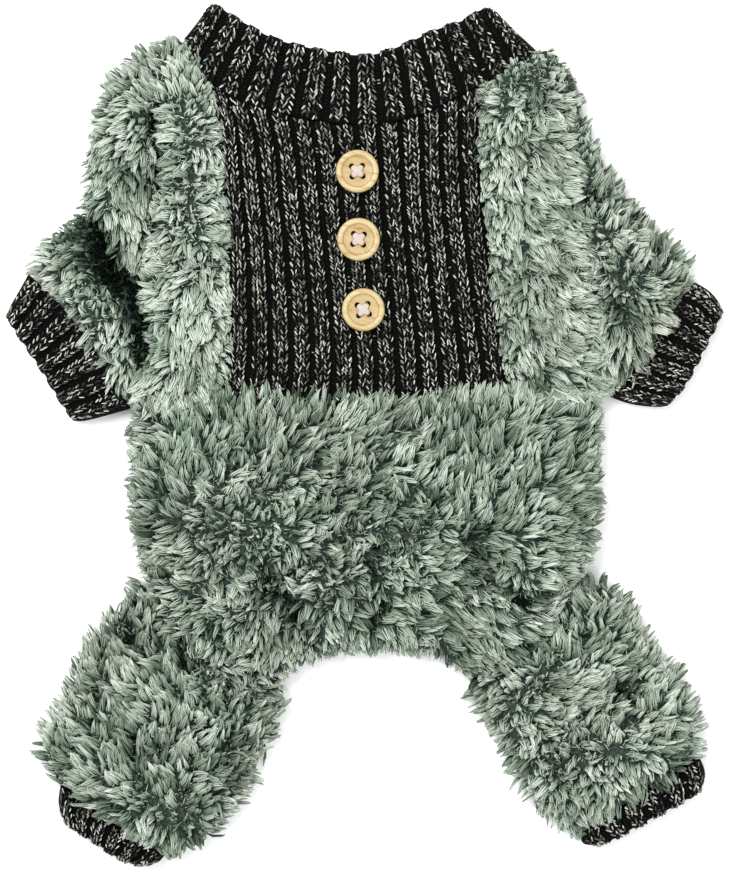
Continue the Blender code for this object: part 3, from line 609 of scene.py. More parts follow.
def growLocks(name, roots, facing, piece, dice, scale=1.0):
    # every lock is a few strands that spread at its middle and close at its tip
    count = len(roots)
    seed = piece["seed"]
    tuft = tuftOf(roots, dice)
    creaseDepth = creaseAt(roots) * (facing[:, 2] > 0)
    middle, beside = lockLines(roots, facing, piece, tuft, creaseDepth, dice, scale)
    steps = middle.shape[1] - 1
    strands = piece.get("strands", pile["strandsPerLock"])
    stations = np.array(pile["strandStations"])
    reach = np.clip(stations * dice.uniform(0.82, 1.04, (count, strands, 1)), 0, 1) * steps
    low = np.minimum(reach.astype(int), steps - 1)
    part = (reach - low)[..., None]
    lock = np.arange(count)[:, None, None]
    path = (1 - part) * middle[lock, low] + part * middle[lock, low + 1]
    wide = (np.arange(strands) + 0.5) / strands * 2 - 1
    wide = wide[None] + dice.normal(0, 0.12, (count, strands))
    high = dice.uniform(-0.7, 0.7, (count, strands)) - 0.5 * wide ** 2
    leaf = np.array(pile["lockOutline"])[:, None]
    width = pile["lockWidth"] * scale * dice.uniform(0.55, 1.45, (count, 1, 1, 1))
    wander = np.array(pile["strandWander"])[:, None]
    sway = pile["sway"] * dice.normal(size=(count, strands, 1, 1)) * wander
    path = path + (leaf * width * wide[..., None, None] + sway) * beside[:, None, None]
    path = path + 0.7 * leaf * width * high[..., None, None] * facing[:, None, None]
    path = path.reshape(-1, len(stations), 3)
    height = path[..., 2]
    gap, ease = pile["tableGap"], pile["tableEase"]
    eased = gap + ease * np.exp(np.minimum(height - (gap + ease), 0.0) / ease)
    path[..., 2] = np.where(height < gap + ease, eased, height)

    ups = np.repeat(facing, strands, axis=0)[:, None] + np.zeros((1, len(stations), 1))
    radii = pile["strandRadius"] * scale * np.array(pile["strandTaper"])
    radii = radii * dice.uniform(0.8, 1.15, (len(path), 1))
    fine, broad = pile["patchShade"]
    shade = piece["shade"] + fine * ripple(roots, 6, seed + 4) + broad * ripple(roots, 14, seed + 6)
    # random tone from lock to lock and tuft to tuft, less painted shade in a crease
    shade += (pile["lockShade"] * dice.normal(size=count) + pile["tuftShade"] * perTuft(tuft, dice)
              - pile["creaseShade"] * creaseDepth)
    shade += pile["edgeLight"] * np.clip(0.7 - facing[:, 2], 0, 0.7)
    # painted shade: a lock's outer strands a little darker than its middle ones; each strand also differs a
    # little at random
    shade = shade[:, None] + 0.02 - 0.06 * wide ** 2 + dice.normal(0, 0.06, wide.shape)
    return sweptYarns(name, path, ups, radii, strandFlatness, strandSides, shade.ravel())


def facesUp(rise):
    # the coat of the upper side reaches a little round the edge
    return rise > -0.3


def facesDown(rise):
    return rise < -0.7


def furFaces(piece, kind):
    # the outer face of a backing as a grid of rows, its inner face, and the way that the outer one faces
    name = piece["node"]
    across = np.linspace(0, 1, piece["grid"][0])
    if kind == "limb":
        across = 0.4 * across + 0.3 * (1 - np.cos(math.pi * across))
    down = np.linspace(0, 1, piece["grid"][1])
    plan = turnedIn(clothPlan(piece["edges"], across, down), piece["turnedIn"])
    upper = cadHeights(name, plan, True)
    lower = cadHeights(name, plan, False)
    if kind == "front":
        upper = np.maximum(upper - pile["depth"], lower + pile["leastCloth"])
        grid = atHeight(plan, upper)
        inner = atHeight(plan, np.maximum(upper - pile["panelBacking"], lower + 0.15))
    elif kind == "back":
        rise = pile["hemRise"] * edgeNearness(plan.reshape(-1, 2), piece["openEdges"]).reshape(lower.shape)
        lower = np.minimum(lower + pile["undersideDepth"] + rise, upper - pile["leastCloth"])
        grid = atHeight(plan, lower)
        inner = atHeight(plan, np.minimum(lower + pile["panelBacking"], upper - 0.1))
    else:
        middle = 0.5 * (upper + lower)
        upper = np.maximum(upper - pile["depth"], middle + 0.3)
        lower = np.minimum(lower + pile["undersideDepth"], middle - 0.3)
        middle = 0.5 * (upper + lower)
        bulge = quarterRound(fromFolds(plan), pile["foldTurn"])
        grid = tubeGrid(plan, middle + (upper - middle) * bulge, middle + (lower - middle) * bulge)
    normals = gridNormals(grid, kind == "limb")
    if kind == "back":
        normals = -normals
    if kind == "limb":
        inner = grid - pile["limbBacking"] * normals
    return grid, inner, normals


def makeFur(piece, kind):
    # kind: "front" and "back" are flat panels, "limb" is a tube pressed flat
    name = piece["node"]
    ring = kind == "limb"
    dice = np.random.default_rng(piece["seed"])
    grid, inner, normals = furFaces(piece, kind)
    backing = closedShell(name + "_backing", grid, inner, ring)
    backing.data.materials.append(furBacking)

    coats = []
    locks = [0, 0]
    if kind != "back":
        roots, facing = scattered(grid, normals, ring, pile["lockSpacing"], facesUp, dice)
        coats.append(growLocks(name + "_pile", roots, facing, piece, dice))
        locks[0] = len(roots)
        perArea = piece.get("undercoat", pile["undercoat"])
        roots, facing = thrown(grid, normals, ring, perArea, facesUp, dice)
        coats.append(growUndercoat(name + "_undercoat", roots, facing, piece, dice))
    if kind != "front":
        roots, facing = scattered(grid, normals, ring, pile["undersideSpacing"], facesDown, dice)
        under = {**piece, "combing": [(0, 0, 270, 80)], "strands": 3}
        coats.append(growLocks(name + "_underside_pile", roots, facing, under, dice, 1.25))
        locks[1] = len(roots)
    if kind == "back":
        roots, facing = cutEdge(grid, inner, pile["hemStrands"], dice)
        coats.append(growUndercoat(name + "_hem", roots, facing, piece, dice, 1.7))
    for coat in coats:
        coat.data.materials.append(sageFur)
        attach(coat, "root")
    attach(backing, "root")
    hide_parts(name)
    triangles = sum(trianglesIn(coat) for coat in coats)
    print(f"{name}: {locks[0]} locks above, {locks[1]} below, {triangles} triangles of pile")


multiply = {"data_type": "RGBA", "blend_type": "MULTIPLY", 0: 1.0}


def makeSageFur():
    # Long-pile polyester fur fabric, spun and brushed: pale matt tips, soft sheen, dark between the locks,
    # partly from its darker roots and partly painted shade.
    material = newMaterial("brushed_polyester_fur_sage")
    uv = addNode(material, "ShaderNodeUVMap", {"uv_map": "OFBake"})
    split = addNode(material, "ShaderNodeSeparateXYZ", links={0: uv.outputs[0]})
    # map across: the lock's shade; map along: from root to tip. Pale pile is lit through, roots and all.
    depth = addNode(material, "ShaderNodeMath", {"operation": "MULTIPLY_ADD", 1: 0.41},
                    {0: split.outputs[0], 2: split.outputs[1]})
    # dark at the roots and pale at the tips: partly the fibre's own two tones, partly painted shade down
    # among the strands
    rootToTip = addNode(material, "ShaderNodeValToRGB", {"stops": [
        (0.06, "#141e16"), (0.3, "#6e7c71"), (0.54, "#b1bab0"), (0.82, "#d2d7d0"), (1.0, "#dcded9")]},
        {0: depth.outputs[0]})
    shade = addNode(material, "ShaderNodeValToRGB", {"stops": [
        (0.0, "#0c120d"), (0.07, "#1c261e"), (0.16, "#566457"), (0.34, "#98a398"), (0.65, "#d6dad4"),
        (1.0, "#ffffff")]},
        {0: split.outputs[0]})
    # painted shading round each strand: its top painted bright and its sides painted duller, as if lit from
    # above
    strand = addNode(material, "ShaderNodeMath", {"operation": "MULTIPLY", 1: float(shadeSteps)},
                     {0: split.outputs[0]})
    turned = addNode(material, "ShaderNodeMath", {"operation": "FRACT"}, {0: strand.outputs[0]})
    ply = addNode(material, "ShaderNodeValToRGB", {"stops": [
        (0.0, "#ffffff"), (0.14, "#edf1ec"), (0.33, "#a2aca1"), (0.67, "#a2aca1"), (0.86, "#edf1ec"),
        (1.0, "#ffffff")]}, {0: turned.outputs[0]})
    shaded = addNode(material, "ShaderNodeMix", multiply, {6: rootToTip.outputs[0], 7: shade.outputs[0]})
    strandShaded = addNode(material, "ShaderNodeMix", multiply, {6: shaded.outputs[2], 7: ply.outputs[0]})
    # the dye takes a little warmer or greener in patches about 28 mm across
    place = addNode(material, "ShaderNodeTexCoord")
    patches = addNode(material, "ShaderNodeTexNoise", {"Scale": 1000 / 28, "Detail": 3.0, "Roughness": 0.6},
                      {0: place.outputs["Object"]})
    tint = addNode(material, "ShaderNodeValToRGB", {"stops": [
        (0.34, "#f9f5f2"), (0.5, "#f4f6f3"), (0.66, "#ebf4ed")]}, {0: patches.outputs[0]})
    tinted = addNode(material, "ShaderNodeMix", multiply, {6: strandShaded.outputs[2], 7: tint.outputs[0]})
    # sheen and specular grow with the painted shade across the map, so pile painted dark in a fold shows no
    # sheen
    gloss = addNode(material, "ShaderNodeMath", {"operation": "MULTIPLY", 1: 0.55}, {0: split.outputs[0]})
    return finished(material,
                    {"Base Color": tinted.outputs[2], "Specular IOR Level": gloss.outputs[0],
                     "Sheen Weight": gloss.outputs[0]},
                    {"Roughness": 0.72, "Sheen Roughness": 0.5, "Sheen Tint": colour("#b4cdb8"),
                     "IOR": 1.53})


def makeFurBacking():
    # Knitted polyester ground the pile stands in, loops 1.1 mm wide: deep grey green, quite matt. Its dark
    # tone is partly its own colour and partly painted shade down among the roots.
    material = newMaterial("knitted_fur_backing")
    place = addNode(material, "ShaderNodeTexCoord")
    loops = addNode(material, "ShaderNodeTexNoise", {"Scale": 1000 / 1.1, "Detail": 4.0, "Roughness": 0.7},
                    {0: place.outputs["Object"]})
    tone = addNode(material, "ShaderNodeValToRGB", {"stops": [
        (0.36, "#101812"), (0.5, "#26342a"), (0.68, "#51645a")]}, {0: loops.outputs[0]})
    raised = addNode(material, "ShaderNodeBump", {"Strength": 0.8, "Distance": 0.0008},
                     {"Height": loops.outputs[0]})
    return finished(material, {"Base Color": tone.outputs[0], "Normal": raised.outputs[0]},
                    {"Roughness": 0.95})


def makeMarledYarn():
    # Two-ply acrylic yarn, one black ply and one dyed in lengths from black to off-white, which gives
    # salt-and-pepper flecks.
    material = newMaterial("marled_acrylic_yarn")
    uv = addNode(material, "ShaderNodeUVMap", {"uv_map": "OFBake"})
    split = addNode(material, "ShaderNodeSeparateXYZ", links={0: uv.outputs[0]})
    dyed = addNode(material, "ShaderNodeValToRGB", {"stops": [
        (0.0, "#070706"), (0.45, "#20211e"), (0.55, "#42433e"), (0.75, "#84857d"), (1.0, "#d2d2c8")]},
        {0: split.outputs[0]})
    # painted shade: each leg darker at both ends, where it goes under the next stitch
    ends = addNode(material, "ShaderNodeValToRGB", {"stops": [
        (0.0, "#3a3a38"), (0.2, "#ffffff"), (0.8, "#ffffff"), (1.0, "#3a3a38")]}, {0: split.outputs[1]})
    both = addNode(material, "ShaderNodeMix", multiply, {6: dyed.outputs[0], 7: ends.outputs[0]})
    return finished(material, {"Base Color": both.outputs[2]},
                    {"Roughness": 0.9, "Specular IOR Level": 0.12})


def makeRibGround():
    # The same yarn deep in the rib, loops 1.3 mm wide: nearly black, partly the black ply and partly
    # painted shade for loops that lie deep in the rib.
    material = newMaterial("acrylic_rib_ground")
    place = addNode(material, "ShaderNodeTexCoord")
    loops = addNode(material, "ShaderNodeTexNoise", {"Scale": 1000 / 1.3, "Detail": 3.0},
                    {0: place.outputs["Object"]})
    tone = addNode(material, "ShaderNodeValToRGB", {"stops": [
        (0.35, "#030303"), (0.62, "#080807"), (0.8, "#151614")]}, {0: loops.outputs[0]})
    raised = addNode(material, "ShaderNodeBump", {"Strength": 0.7, "Distance": 0.0006},
                     {"Height": loops.outputs[0]})
    return finished(material, {"Base Color": tone.outputs[0], "Normal": raised.outputs[0]},
                    {"Roughness": 0.95, "Specular IOR Level": 0.08})


def makeButtonWood():
    # Turned and lightly waxed maple: tan growth lines about 1.6 mm apart, satin rim, duskier dish.
    material = newMaterial("turned_maple")
    place = addNode(material, "ShaderNodeTexCoord")
    laid = addNode(material, "ShaderNodeMapping", {"vector_type": "TEXTURE", "Rotation": (0.1, 0.1, -0.25),
                                                   "Scale": (7.0, 1.0, 1.0)}, {0: place.outputs["Object"]})
    growth = addNode(material, "ShaderNodeTexNoise", {"Scale": 1000 / 1.6, "Detail": 4.0, "Roughness": 0.62,
                                                      "Distortion": 0.4}, {0: laid.outputs[0]})
    grain = addNode(material, "ShaderNodeValToRGB", {"stops": [
        (0.3, "#8b6637"), (0.4, "#a68c5c"), (0.52, "#af9e74"), (0.8, "#b8a982")]}, {0: growth.outputs[0]})
    split = addNode(material, "ShaderNodeSeparateXYZ", links={0: place.outputs["Object"]})
    dish, rim = 0.0149, 0.0159  # their heights over the tabletop, in metres
    onRim = addNode(material, "ShaderNodeMapRange", {1: dish, 2: rim}, {0: split.outputs[2]})
    # the dish a little duskier than the rim, with painted shade in a darker line at the foot of the rim
    dishToneAndFootShade = addNode(material, "ShaderNodeValToRGB", {"stops": [
        (0.0, "#efe6da"), (0.25, "#d8c9b0"), (0.6, "#ffffff")]}, {0: onRim.outputs[0]})
    tone = addNode(material, "ShaderNodeMix", multiply, {6: grain.outputs[0], 7: dishToneAndFootShade.outputs[0]})
    raised = addNode(material, "ShaderNodeBump", {"Strength": 0.15, "Distance": 0.0002},
                     {"Height": growth.outputs[0]})
    return finished(material, {"Base Color": tone.outputs[2], "Normal": raised.outputs[0]},
                    {"Roughness": 0.42, "IOR": 1.5})


def makeCottonThread():
    # Three-ply cotton sewing thread, pinkish cream, with a fine diagonal twist.
    material = newMaterial("cotton_thread_cream")
    uv = addNode(material, "ShaderNodeUVMap", {"uv_map": "OFBake"})
    split = addNode(material, "ShaderNodeSeparateXYZ", links={0: uv.outputs[0]})
    plies, twists = 3.0, 14.0  # twists over the length of one turn of thread
    scaled = addNode(material, "ShaderNodeMath", {"operation": "MULTIPLY", 1: plies * shadeSteps},
                     {0: split.outputs[0]})
    turned = addNode(material, "ShaderNodeMath", {"operation": "MULTIPLY_ADD", 1: twists},
                     {0: split.outputs[1], 2: scaled.outputs[0]})
    ply = addNode(material, "ShaderNodeMath", {"operation": "FRACT"}, {0: turned.outputs[0]})
    tone = addNode(material, "ShaderNodeValToRGB", {"stops": [
        (0.0, "#8d7f76"), (0.35, "#c2b6ad"), (0.75, "#bbaea5"), (1.0, "#84776e")]}, {0: ply.outputs[0]})
    return finished(material, {"Base Color": tone.outputs[0]}, {"Roughness": 0.7, "Sheen Weight": 0.1})


sageFur = makeSageFur()
furBacking = makeFurBacking()
marledYarn = makeMarledYarn()
ribGround = makeRibGround()
buttonWood = makeButtonWood()
cottonThread = makeCottonThread()
print("materials ready")

# Combing rows of the fur pieces: x, y, heading of the tips (0 is +X, 90 is +Y) and lean from upright in
# degrees. "cut" is the flat piece's width, length and area.
back = {
    "node": "back", "seed": 11, "shade": 0.58, "grid": (60, 72),
    "edges": {"top": ("shoulderLeft", "neckLeft", "neckFront", "neckRight", "shoulderRight"),
              "bottom": ("crotch",), "left": ("armholeLeft", "sideLeft", "hipLeft"),
              "right": ("armholeRight", "sideRight", "hipRight")},
    "turnedIn": (5.0, 5.0, 1.0, 6.0), "restsOn": (),
    "openEdges": ("sideLeft", "sideRight", "crotch", "shoulderLeft", "shoulderRight"),
    "cut": (201.0, 272.0, 44400.0),
    "combing": [(-98, -15, 180, 60), (98, -15, 0, 60), (0, -92, 270, 60), (0, 60, 270, 70),
                (-88, 100, 180, 60), (88, 100, 0, 60), (0, 130, 90, 70)],
}
makeFur(back, "back")

belly = {
    "node": "belly", "seed": 23, "shade": 0.56, "strands": 4, "undercoat": 0.24, "grid": (60, 40),
    "edges": {"top": ("waistLeft", "waistMiddle", "waistRight"), "bottom": ("crotch",),
              "left": ("sideLeft", "hipLeft"), "right": ("sideRight", "hipRight")},
    "turnedIn": (3.6, 3.6, 0.5, 4.6), "restsOn": ("back_backing",),
    "openEdges": ("sideLeft", "sideRight", "crotch"),
    "cut": (200.0, 122.0, 20600.0),
    "combing": [(-92, 2, 190, 58), (-82, 8, 115, 60), (-70, 6, 97, 64), (-50, 8, 92, 66), (-35, 6, 85, 66),
                (-18, 8, 70, 66), (0, 8, 55, 66), (12, 8, 50, 66), (24, 4, 75, 62), (40, 8, 80, 64),
                (56, 6, 62, 62), (75, 5, 48, 64), (95, 5, 36, 62), (-93, -16, 125, 58),
                (-84, -18, 105, 62), (-68, -16, 90, 56), (-52, -16, 70, 45), (-38, -10, 65, 58),
                (-28, -6, 45, 60), (-20, -16, 20, 45), (-10, -8, 50, 55), (5, -8, 42, 60),
                (18, -8, 60, 55), (32, -14, 80, 58), (48, -16, 75, 60), (64, -18, 68, 60),
                (82, -12, 45, 62), (97, -15, 35, 62), (-94, -36, 180, 62), (-84, -38, 172, 60),
                (-76, -26, 92, 56), (-64, -28, 108, 42), (-50, -32, 80, 30), (-35, -30, 60, 32),
                (-24, -28, 20, 45), (-26, -42, 345, 50), (-12, -36, 60, 48), (2, -26, 32, 50),
                (16, -30, 45, 48), (24, -36, 62, 46), (38, -32, 85, 55), (50, -34, 68, 52),
                (66, -34, 20, 55), (84, -32, 15, 62), (96, -34, 5, 62), (-92, -50, 210, 55),
                (-76, -48, 190, 50), (-60, -50, 250, 35), (-40, -50, 300, 28), (-18, -52, 0, 35),
                (-2, -48, 55, 38), (14, -46, 300, 30), (28, -48, 20, 52), (44, -46, 12, 56),
                (60, -44, 340, 52), (78, -46, 348, 62), (92, -48, 350, 62), (-84, -60, 150, 50),
                (-66, -62, 270, 42), (-54, -60, 262, 50), (-40, -62, 215, 35), (-22, -62, 195, 45),
                (-8, -64, 330, 45), (6, -62, 300, 35), (20, -58, 350, 45), (34, -64, 348, 60),
                (48, -66, 335, 52), (60, -60, 250, 40), (74, -58, 355, 60), (84, -62, 20, 58),
                (-72, -72, 200, 45), (-55, -74, 190, 42), (-42, -78, 275, 58), (-34, -84, 280, 62),
                (-22, -74, 225, 50), (-6, -78, 290, 58), (8, -76, 320, 58), (22, -74, 350, 62),
                (38, -76, 345, 62), (54, -78, 320, 60), (66, -72, 330, 58), (76, -74, 20, 55),
                (-60, -90, 265, 45), (-44, -92, 230, 45), (-30, -94, 270, 60), (-12, -88, 285, 60),
                (4, -88, 295, 62), (20, -88, 302, 62), (34, -92, 315, 60), (50, -90, 315, 62),
                (64, -86, 328, 60)],
}
makeFur(belly, "front")

chestLeft = {
    "node": "chest_left", "seed": 31, "shade": 0.8, "undercoat": 0.45, "flatter": 12, "grid": (18, 52),
    "edges": {"top": ("shoulderLeft",), "bottom": ("waistLeft",), "left": ("armholeLeft",),
              "right": ("neckLeft", "bibLeft")},
    "turnedIn": (1.5, 0.8, 3.5, 0.5), "restsOn": ("back_backing",),
    "openEdges": ("shoulderLeft", "neckLeft", "bibLeft"),
    "cut": (38.0, 156.0, 4730.0),
    "combing": [(-83, 165, 105, 58), (-76, 165, 105, 58), (-73, 155, 95, 58), (-70, 146, 110, 52),
                (-66, 138, 10, 56), (-64, 128, 20, 56), (-78, 140, 130, 52), (-80, 128, 180, 50),
                (-66, 115, 320, 58), (-64, 105, 40, 50), (-78, 112, 200, 50), (-82, 98, 180, 42),
                (-66, 94, 350, 52), (-85, 85, 185, 55), (-65, 84, 350, 58), (-75, 80, 235, 40),
                (-85, 70, 178, 52), (-70, 60, 265, 60), (-62, 55, 300, 60), (-85, 55, 190, 52),
                (-72, 45, 270, 60), (-62, 42, 300, 60), (-85, 35, 200, 54), (-74, 30, 275, 62),
                (-92, 20, 255, 62), (-80, 20, 260, 62), (-66, 20, 290, 62)],
}
makeFur(chestLeft, "front")

chestRight = {
    "node": "chest_right", "seed": 37, "shade": 0.67, "undercoat": 0.45, "flatter": 12, "grid": (20, 52),
    "edges": {"top": ("shoulderRight",), "bottom": ("waistRight",), "left": ("-neckRight", "bibRight"),
              "right": ("armholeRight",)},
    "turnedIn": (0.8, 1.5, 3.5, 0.5), "restsOn": ("back_backing",),
    "openEdges": ("shoulderRight", "neckRight", "bibRight"),
    "cut": (44.0, 152.0, 5600.0),
    "combing": [(64, 155, 90, 52), (57, 148, 200, 52), (80, 163, 85, 30), (84, 150, 80, 20),
                (72, 145, 265, 52), (78, 138, 350, 54), (75, 130, 340, 58), (82, 122, 342, 58),
                (85, 110, 352, 60),
                (86, 95, 357, 60), (66, 125, 300, 54), (56, 130, 235, 52), (58, 110, 270, 56),
                (70, 112, 320, 58), (64, 100, 280, 58), (74, 95, 335, 60), (62, 80, 290, 60),
                (60, 65, 260, 54), (75, 75, 310, 60), (85, 80, 340, 60), (90, 65, 325, 60),
                (88, 50, 335, 60), (75, 50, 310, 60), (62, 48, 275, 56), (80, 35, 342, 60),
                (90, 35, 345, 60), (95, 25, 335, 60), (75, 20, 310, 62), (65, 20, 285, 62),
                (62, 30, 265, 54)],
}
makeFur(chestRight, "front")

sleeveLeft = {
    "node": "sleeve_left", "seed": 43, "shade": 0.68, "grid": (26, 40),
    "edges": {"top": ("armholeLeft",), "bottom": ("wristLeft",), "left": ("sleeveLeftOuter",),
              "right": ("sleeveLeftUnder",)},
    "turnedIn": (4.5, 3.0, 0.3, 2.5), "restsOn": (),
    "openEdges": ("sleeveLeftOuter", "sleeveLeftUnder"), "cut": (210.0, 78.0, 8280.0),
    "combing": [(-92, 160, 125, 66), (-100, 152, 140, 68), (-106, 148, 150, 68), (-109, 140, 165, 66),
                (-97, 142, 145, 64), (-112, 130, 190, 64), (-100, 130, 200, 56), (-108, 120, 235, 62),
                (-98, 118, 255, 62), (-92, 110, 270, 62), (-112, 105, 240, 62), (-100, 100, 270, 64),
                (-92, 95, 272, 62), (-105, 86, 268, 62), (-95, 82, 275, 60), (-97, 70, 280, 58),
                (-125, 88, 155, 60), (-117, 80, 200, 50), (-135, 78, 170, 60), (-135, 70, 200, 60),
                (-126, 74, 192, 54), (-128, 62, 245, 56), (-118, 66, 262, 42), (-112, 55, 110, 32),
                (-105, 52, 200, 35), (-118, 46, 240, 56), (-112, 38, 242, 56), (-104, 34, 258, 56),
                (-99, 48, 285, 50), (-98, 26, 270, 58), (-100, 16, 262, 60)],
}
makeFur(sleeveLeft, "limb")

sleeveRight = {
    "node": "sleeve_right", "seed": 47, "shade": 0.61, "grid": (26, 40),
    "edges": {"top": ("armholeRight",), "bottom": ("wristRight",), "left": ("sleeveRightOuter",),
              "right": ("sleeveRightUnder",)},
    "turnedIn": (6.3, 3.0, 0.3, 2.5), "restsOn": (),
    "openEdges": ("sleeveRightOuter", "sleeveRightUnder"), "cut": (185.0, 72.0, 5960.0),
    "combing": [(86, 155, 75, 20), (89, 148, 75, 20), (91, 140, 75, 25), (90, 130, 80, 45),
                (93, 122, 108, 52), (95, 110, 110, 54), (98, 108, 88, 56), (104, 105, 65, 58),
                (110, 100, 50, 60), (105, 95, 42, 56), (98, 95, 95, 46), (105, 82, 52, 52),
                (118, 88, 50, 60), (118, 80, 45, 58), (128, 77, 55, 58), (135, 68, 17, 60),
                (130, 62, 20, 56), (122, 66, 32, 50), (115, 72, 62, 42), (108, 70, 125, 38),
                (103, 64, 210, 38), (108, 57, 262, 42), (118, 58, 320, 45), (128, 53, 345, 52),
                (110, 45, 292, 56), (118, 50, 282, 52), (124, 45, 300, 56), (105, 35, 260, 56),
                (108, 26, 270, 58), (115, 31, 290, 56), (101, 50, 255, 50), (98, 78, 260, 36)],
}
makeFur(sleeveRight, "limb")

legLeft = {
    "node": "leg_left", "seed": 53, "shade": 0.54, "grid": (30, 44),
    "edges": {"top": ("hipLeft",), "bottom": ("ankleLeft",), "left": ("legLeftOuter",),
              "right": ("legLeftInner",)},
    "turnedIn": (5.0, 4.6, 0.3, 4.6), "restsOn": (),
    "openEdges": ("legLeftOuter", "legLeftInner"), "cut": (183.0, 103.0, 14560.0),
    "combing": [(-95, -64, 120, 58), (-103, -72, 115, 60), (-110, -85, 110, 60), (-115, -95, 105, 60),
                (-100, -82, 112, 56), (-92, -80, 92, 58), (-84, -76, 95, 56), (-79, -86, 105, 50),
                (-90, -93, 150, 48), (-72, -98, 110, 52), (-62, -100, 270, 50), (-50, -104, 265, 52),
                (-38, -108, 290, 52), (-95, -98, 125, 62), (-100, -106, 128, 62), (-88, -104, 138, 62),
                (-78, -104, 118, 60), (-92, -114, 165, 60), (-82, -112, 130, 56), (-70, -112, 100, 45),
                (-58, -114, 80, 42), (-46, -114, 65, 52), (-38, -118, 20, 56), (-112, -106, 118, 58),
                (-120, -103, 105, 60), (-122, -114, 118, 60), (-106, -116, 110, 50), (-112, -124, 105, 58),
                (-102, -124, 95, 56), (-130, -118, 120, 60), (-130, -130, 150, 60), (-134, -136, 170, 60),
                (-120, -128, 120, 58), (-120, -138, 165, 60), (-110, -134, 112, 60), (-100, -134, 105, 60),
                (-92, -126, 85, 56), (-84, -124, 76, 56), (-74, -124, 75, 52), (-62, -126, 80, 42),
                (-52, -128, 50, 52), (-44, -130, 20, 58), (-114, -146, 165, 62), (-106, -150, 172, 62),
                (-100, -144, 125, 60), (-92, -142, 92, 58), (-84, -142, 80, 56), (-74, -140, 74, 52),
                (-62, -142, 50, 48), (-52, -146, 8, 58), (-108, -154, 190, 60), (-97, -153, 160, 50),
                (-92, -158, 225, 50), (-84, -154, 85, 46), (-74, -156, 68, 45), (-62, -156, 350, 54),
                (-56, -162, 340, 58), (-98, -164, 230, 58), (-90, -168, 240, 58), (-80, -168, 300, 56),
                (-70, -166, 322, 58), (-64, -168, 330, 58), (-76, -173, 305, 60)],
}
makeFur(legLeft, "limb")

legRight = {
    "node": "leg_right", "seed": 59, "shade": 0.65, "grid": (30, 44),
    "edges": {"top": ("hipRight",), "bottom": ("ankleRight",), "left": ("legRightOuter",),
              "right": ("legRightInner",)},
    "turnedIn": (5.0, 5.2, 0.3, 4.2), "restsOn": (),
    "openEdges": ("legRightOuter", "legRightInner"), "cut": (164.0, 92.0, 12930.0),
    "combing": [(94, -60, 78, 60), (104, -66, 65, 60), (112, -75, 68, 60), (118, -85, 64, 60),
                (124, -92, 56, 60), (130, -100, 58, 60), (98, -66, 95, 58), (90, -70, 115, 52),
                (86, -78, 100, 46), (96, -76, 85, 56), (104, -80, 72, 58), (112, -86, 66, 56),
                (82, -86, 100, 60), (76, -92, 112, 58), (90, -94, 88, 58), (100, -92, 50, 52),
                (70, -98, 140, 40), (60, -100, 240, 46), (48, -108, 215, 56), (56, -106, 210, 50),
                (80, -104, 15, 58), (90, -104, 10, 60), (100, -100, 25, 60), (106, -104, 28, 58),
                (114, -98, 55, 56), (120, -106, 48, 60), (130, -110, 45, 60), (138, -116, 42, 60),
                (142, -124, 25, 60), (66, -108, 100, 45), (70, -114, 332, 56), (80, -116, 335, 52),
                (92, -114, 58, 56), (104, -114, 65, 46), (104, -122, 75, 52), (112, -118, 40, 42),
                (122, -118, 46, 58), (130, -124, 30, 60), (140, -130, 5, 60), (54, -114, 205, 56),
                (58, -124, 200, 56), (66, -122, 320, 46), (76, -126, 300, 40), (88, -122, 90, 42),
                (98, -130, 80, 48), (108, -130, 50, 48), (118, -132, 5, 58), (128, -132, 10, 60),
                (134, -134, 0, 60), (62, -134, 208, 56), (72, -136, 250, 42), (82, -136, 110, 36),
                (92, -138, 200, 38), (104, -138, 265, 46), (112, -142, 285, 58), (120, -142, 310, 60),
                (128, -140, 325, 60), (66, -146, 205, 56), (76, -146, 240, 42), (88, -146, 260, 40),
                (98, -148, 280, 56), (108, -150, 288, 60), (118, -147, 305, 60), (72, -156, 228, 58),
                (82, -156, 255, 54), (92, -156, 285, 56), (102, -156, 290, 60), (78, -162, 250, 60),
                (88, -164, 285, 60)],
}
makeFur(legRight, "limb")

knit = {
    "wall": 3.2,
    "turnedIn": (0.1, 0.1, 0.15, 0.15),
    "ribHeight": 1.6,
    "samplesPerRib": 8,
    "legLift": 0.35,  # how far the middle of a stitch stands over its ends
    "groundDrop": 0.95,  # how far the ground lies under the tops of the stitches
    "plyShare": 0.034,  # radius of one ply, as a share of the width of a rib
    "foldTurn": 3.5,
    "rimTurn": 3.0,
    "scallop": 0.8,  # how far the ribs stand out past the valleys at a rim
    "cornerRound": 1.6,
    "lightShare": 0.62,  # how many stitches show their light ply
    "lightShades": (0.55, 1.0),  # shades of a light ply, and of the same ply where it was dyed dark
    "dimShades": (0.0, 0.6),
    "greyShare": 0.6,  # how many second plies are grey and not black
    "greyShades": (0.48, 0.82),
    "blackShades": (0.1, 0.5),
    "wales": (0.345, 0.655),  # the two columns of stitches up a rib, as shares of its width
    "rimGap": 0.4,  # rows between the last stitches and the plain turned edge of the rim
    "legRows": 1.5,  # rows that one leg of a stitch runs over
    "legStations": (0.0, 0.3, 0.7, 1.0),  # where a leg has its points, and how thick it is there
    "legTaper": (0.3, 1.0, 1.0, 0.3),
    "plyTwist": 140.0,  # degrees that the plies turn round each other in one leg
    "bumpRadius": 0.42,
    "hollow": 2.6,  # how far the inside keeps from the folds
    "groundGap": 0.75,  # least height over the tabletop, of the ground and of the stitches
    "stitchGap": 0.65,
}


def ribProfile(shares, ribs):
    phase = (shares * ribs) % 1.0
    rise = np.clip((np.minimum(phase, 1 - phase) - 0.12) / 0.17, 0, 1)
    return rise * rise * (3 - 2 * rise)


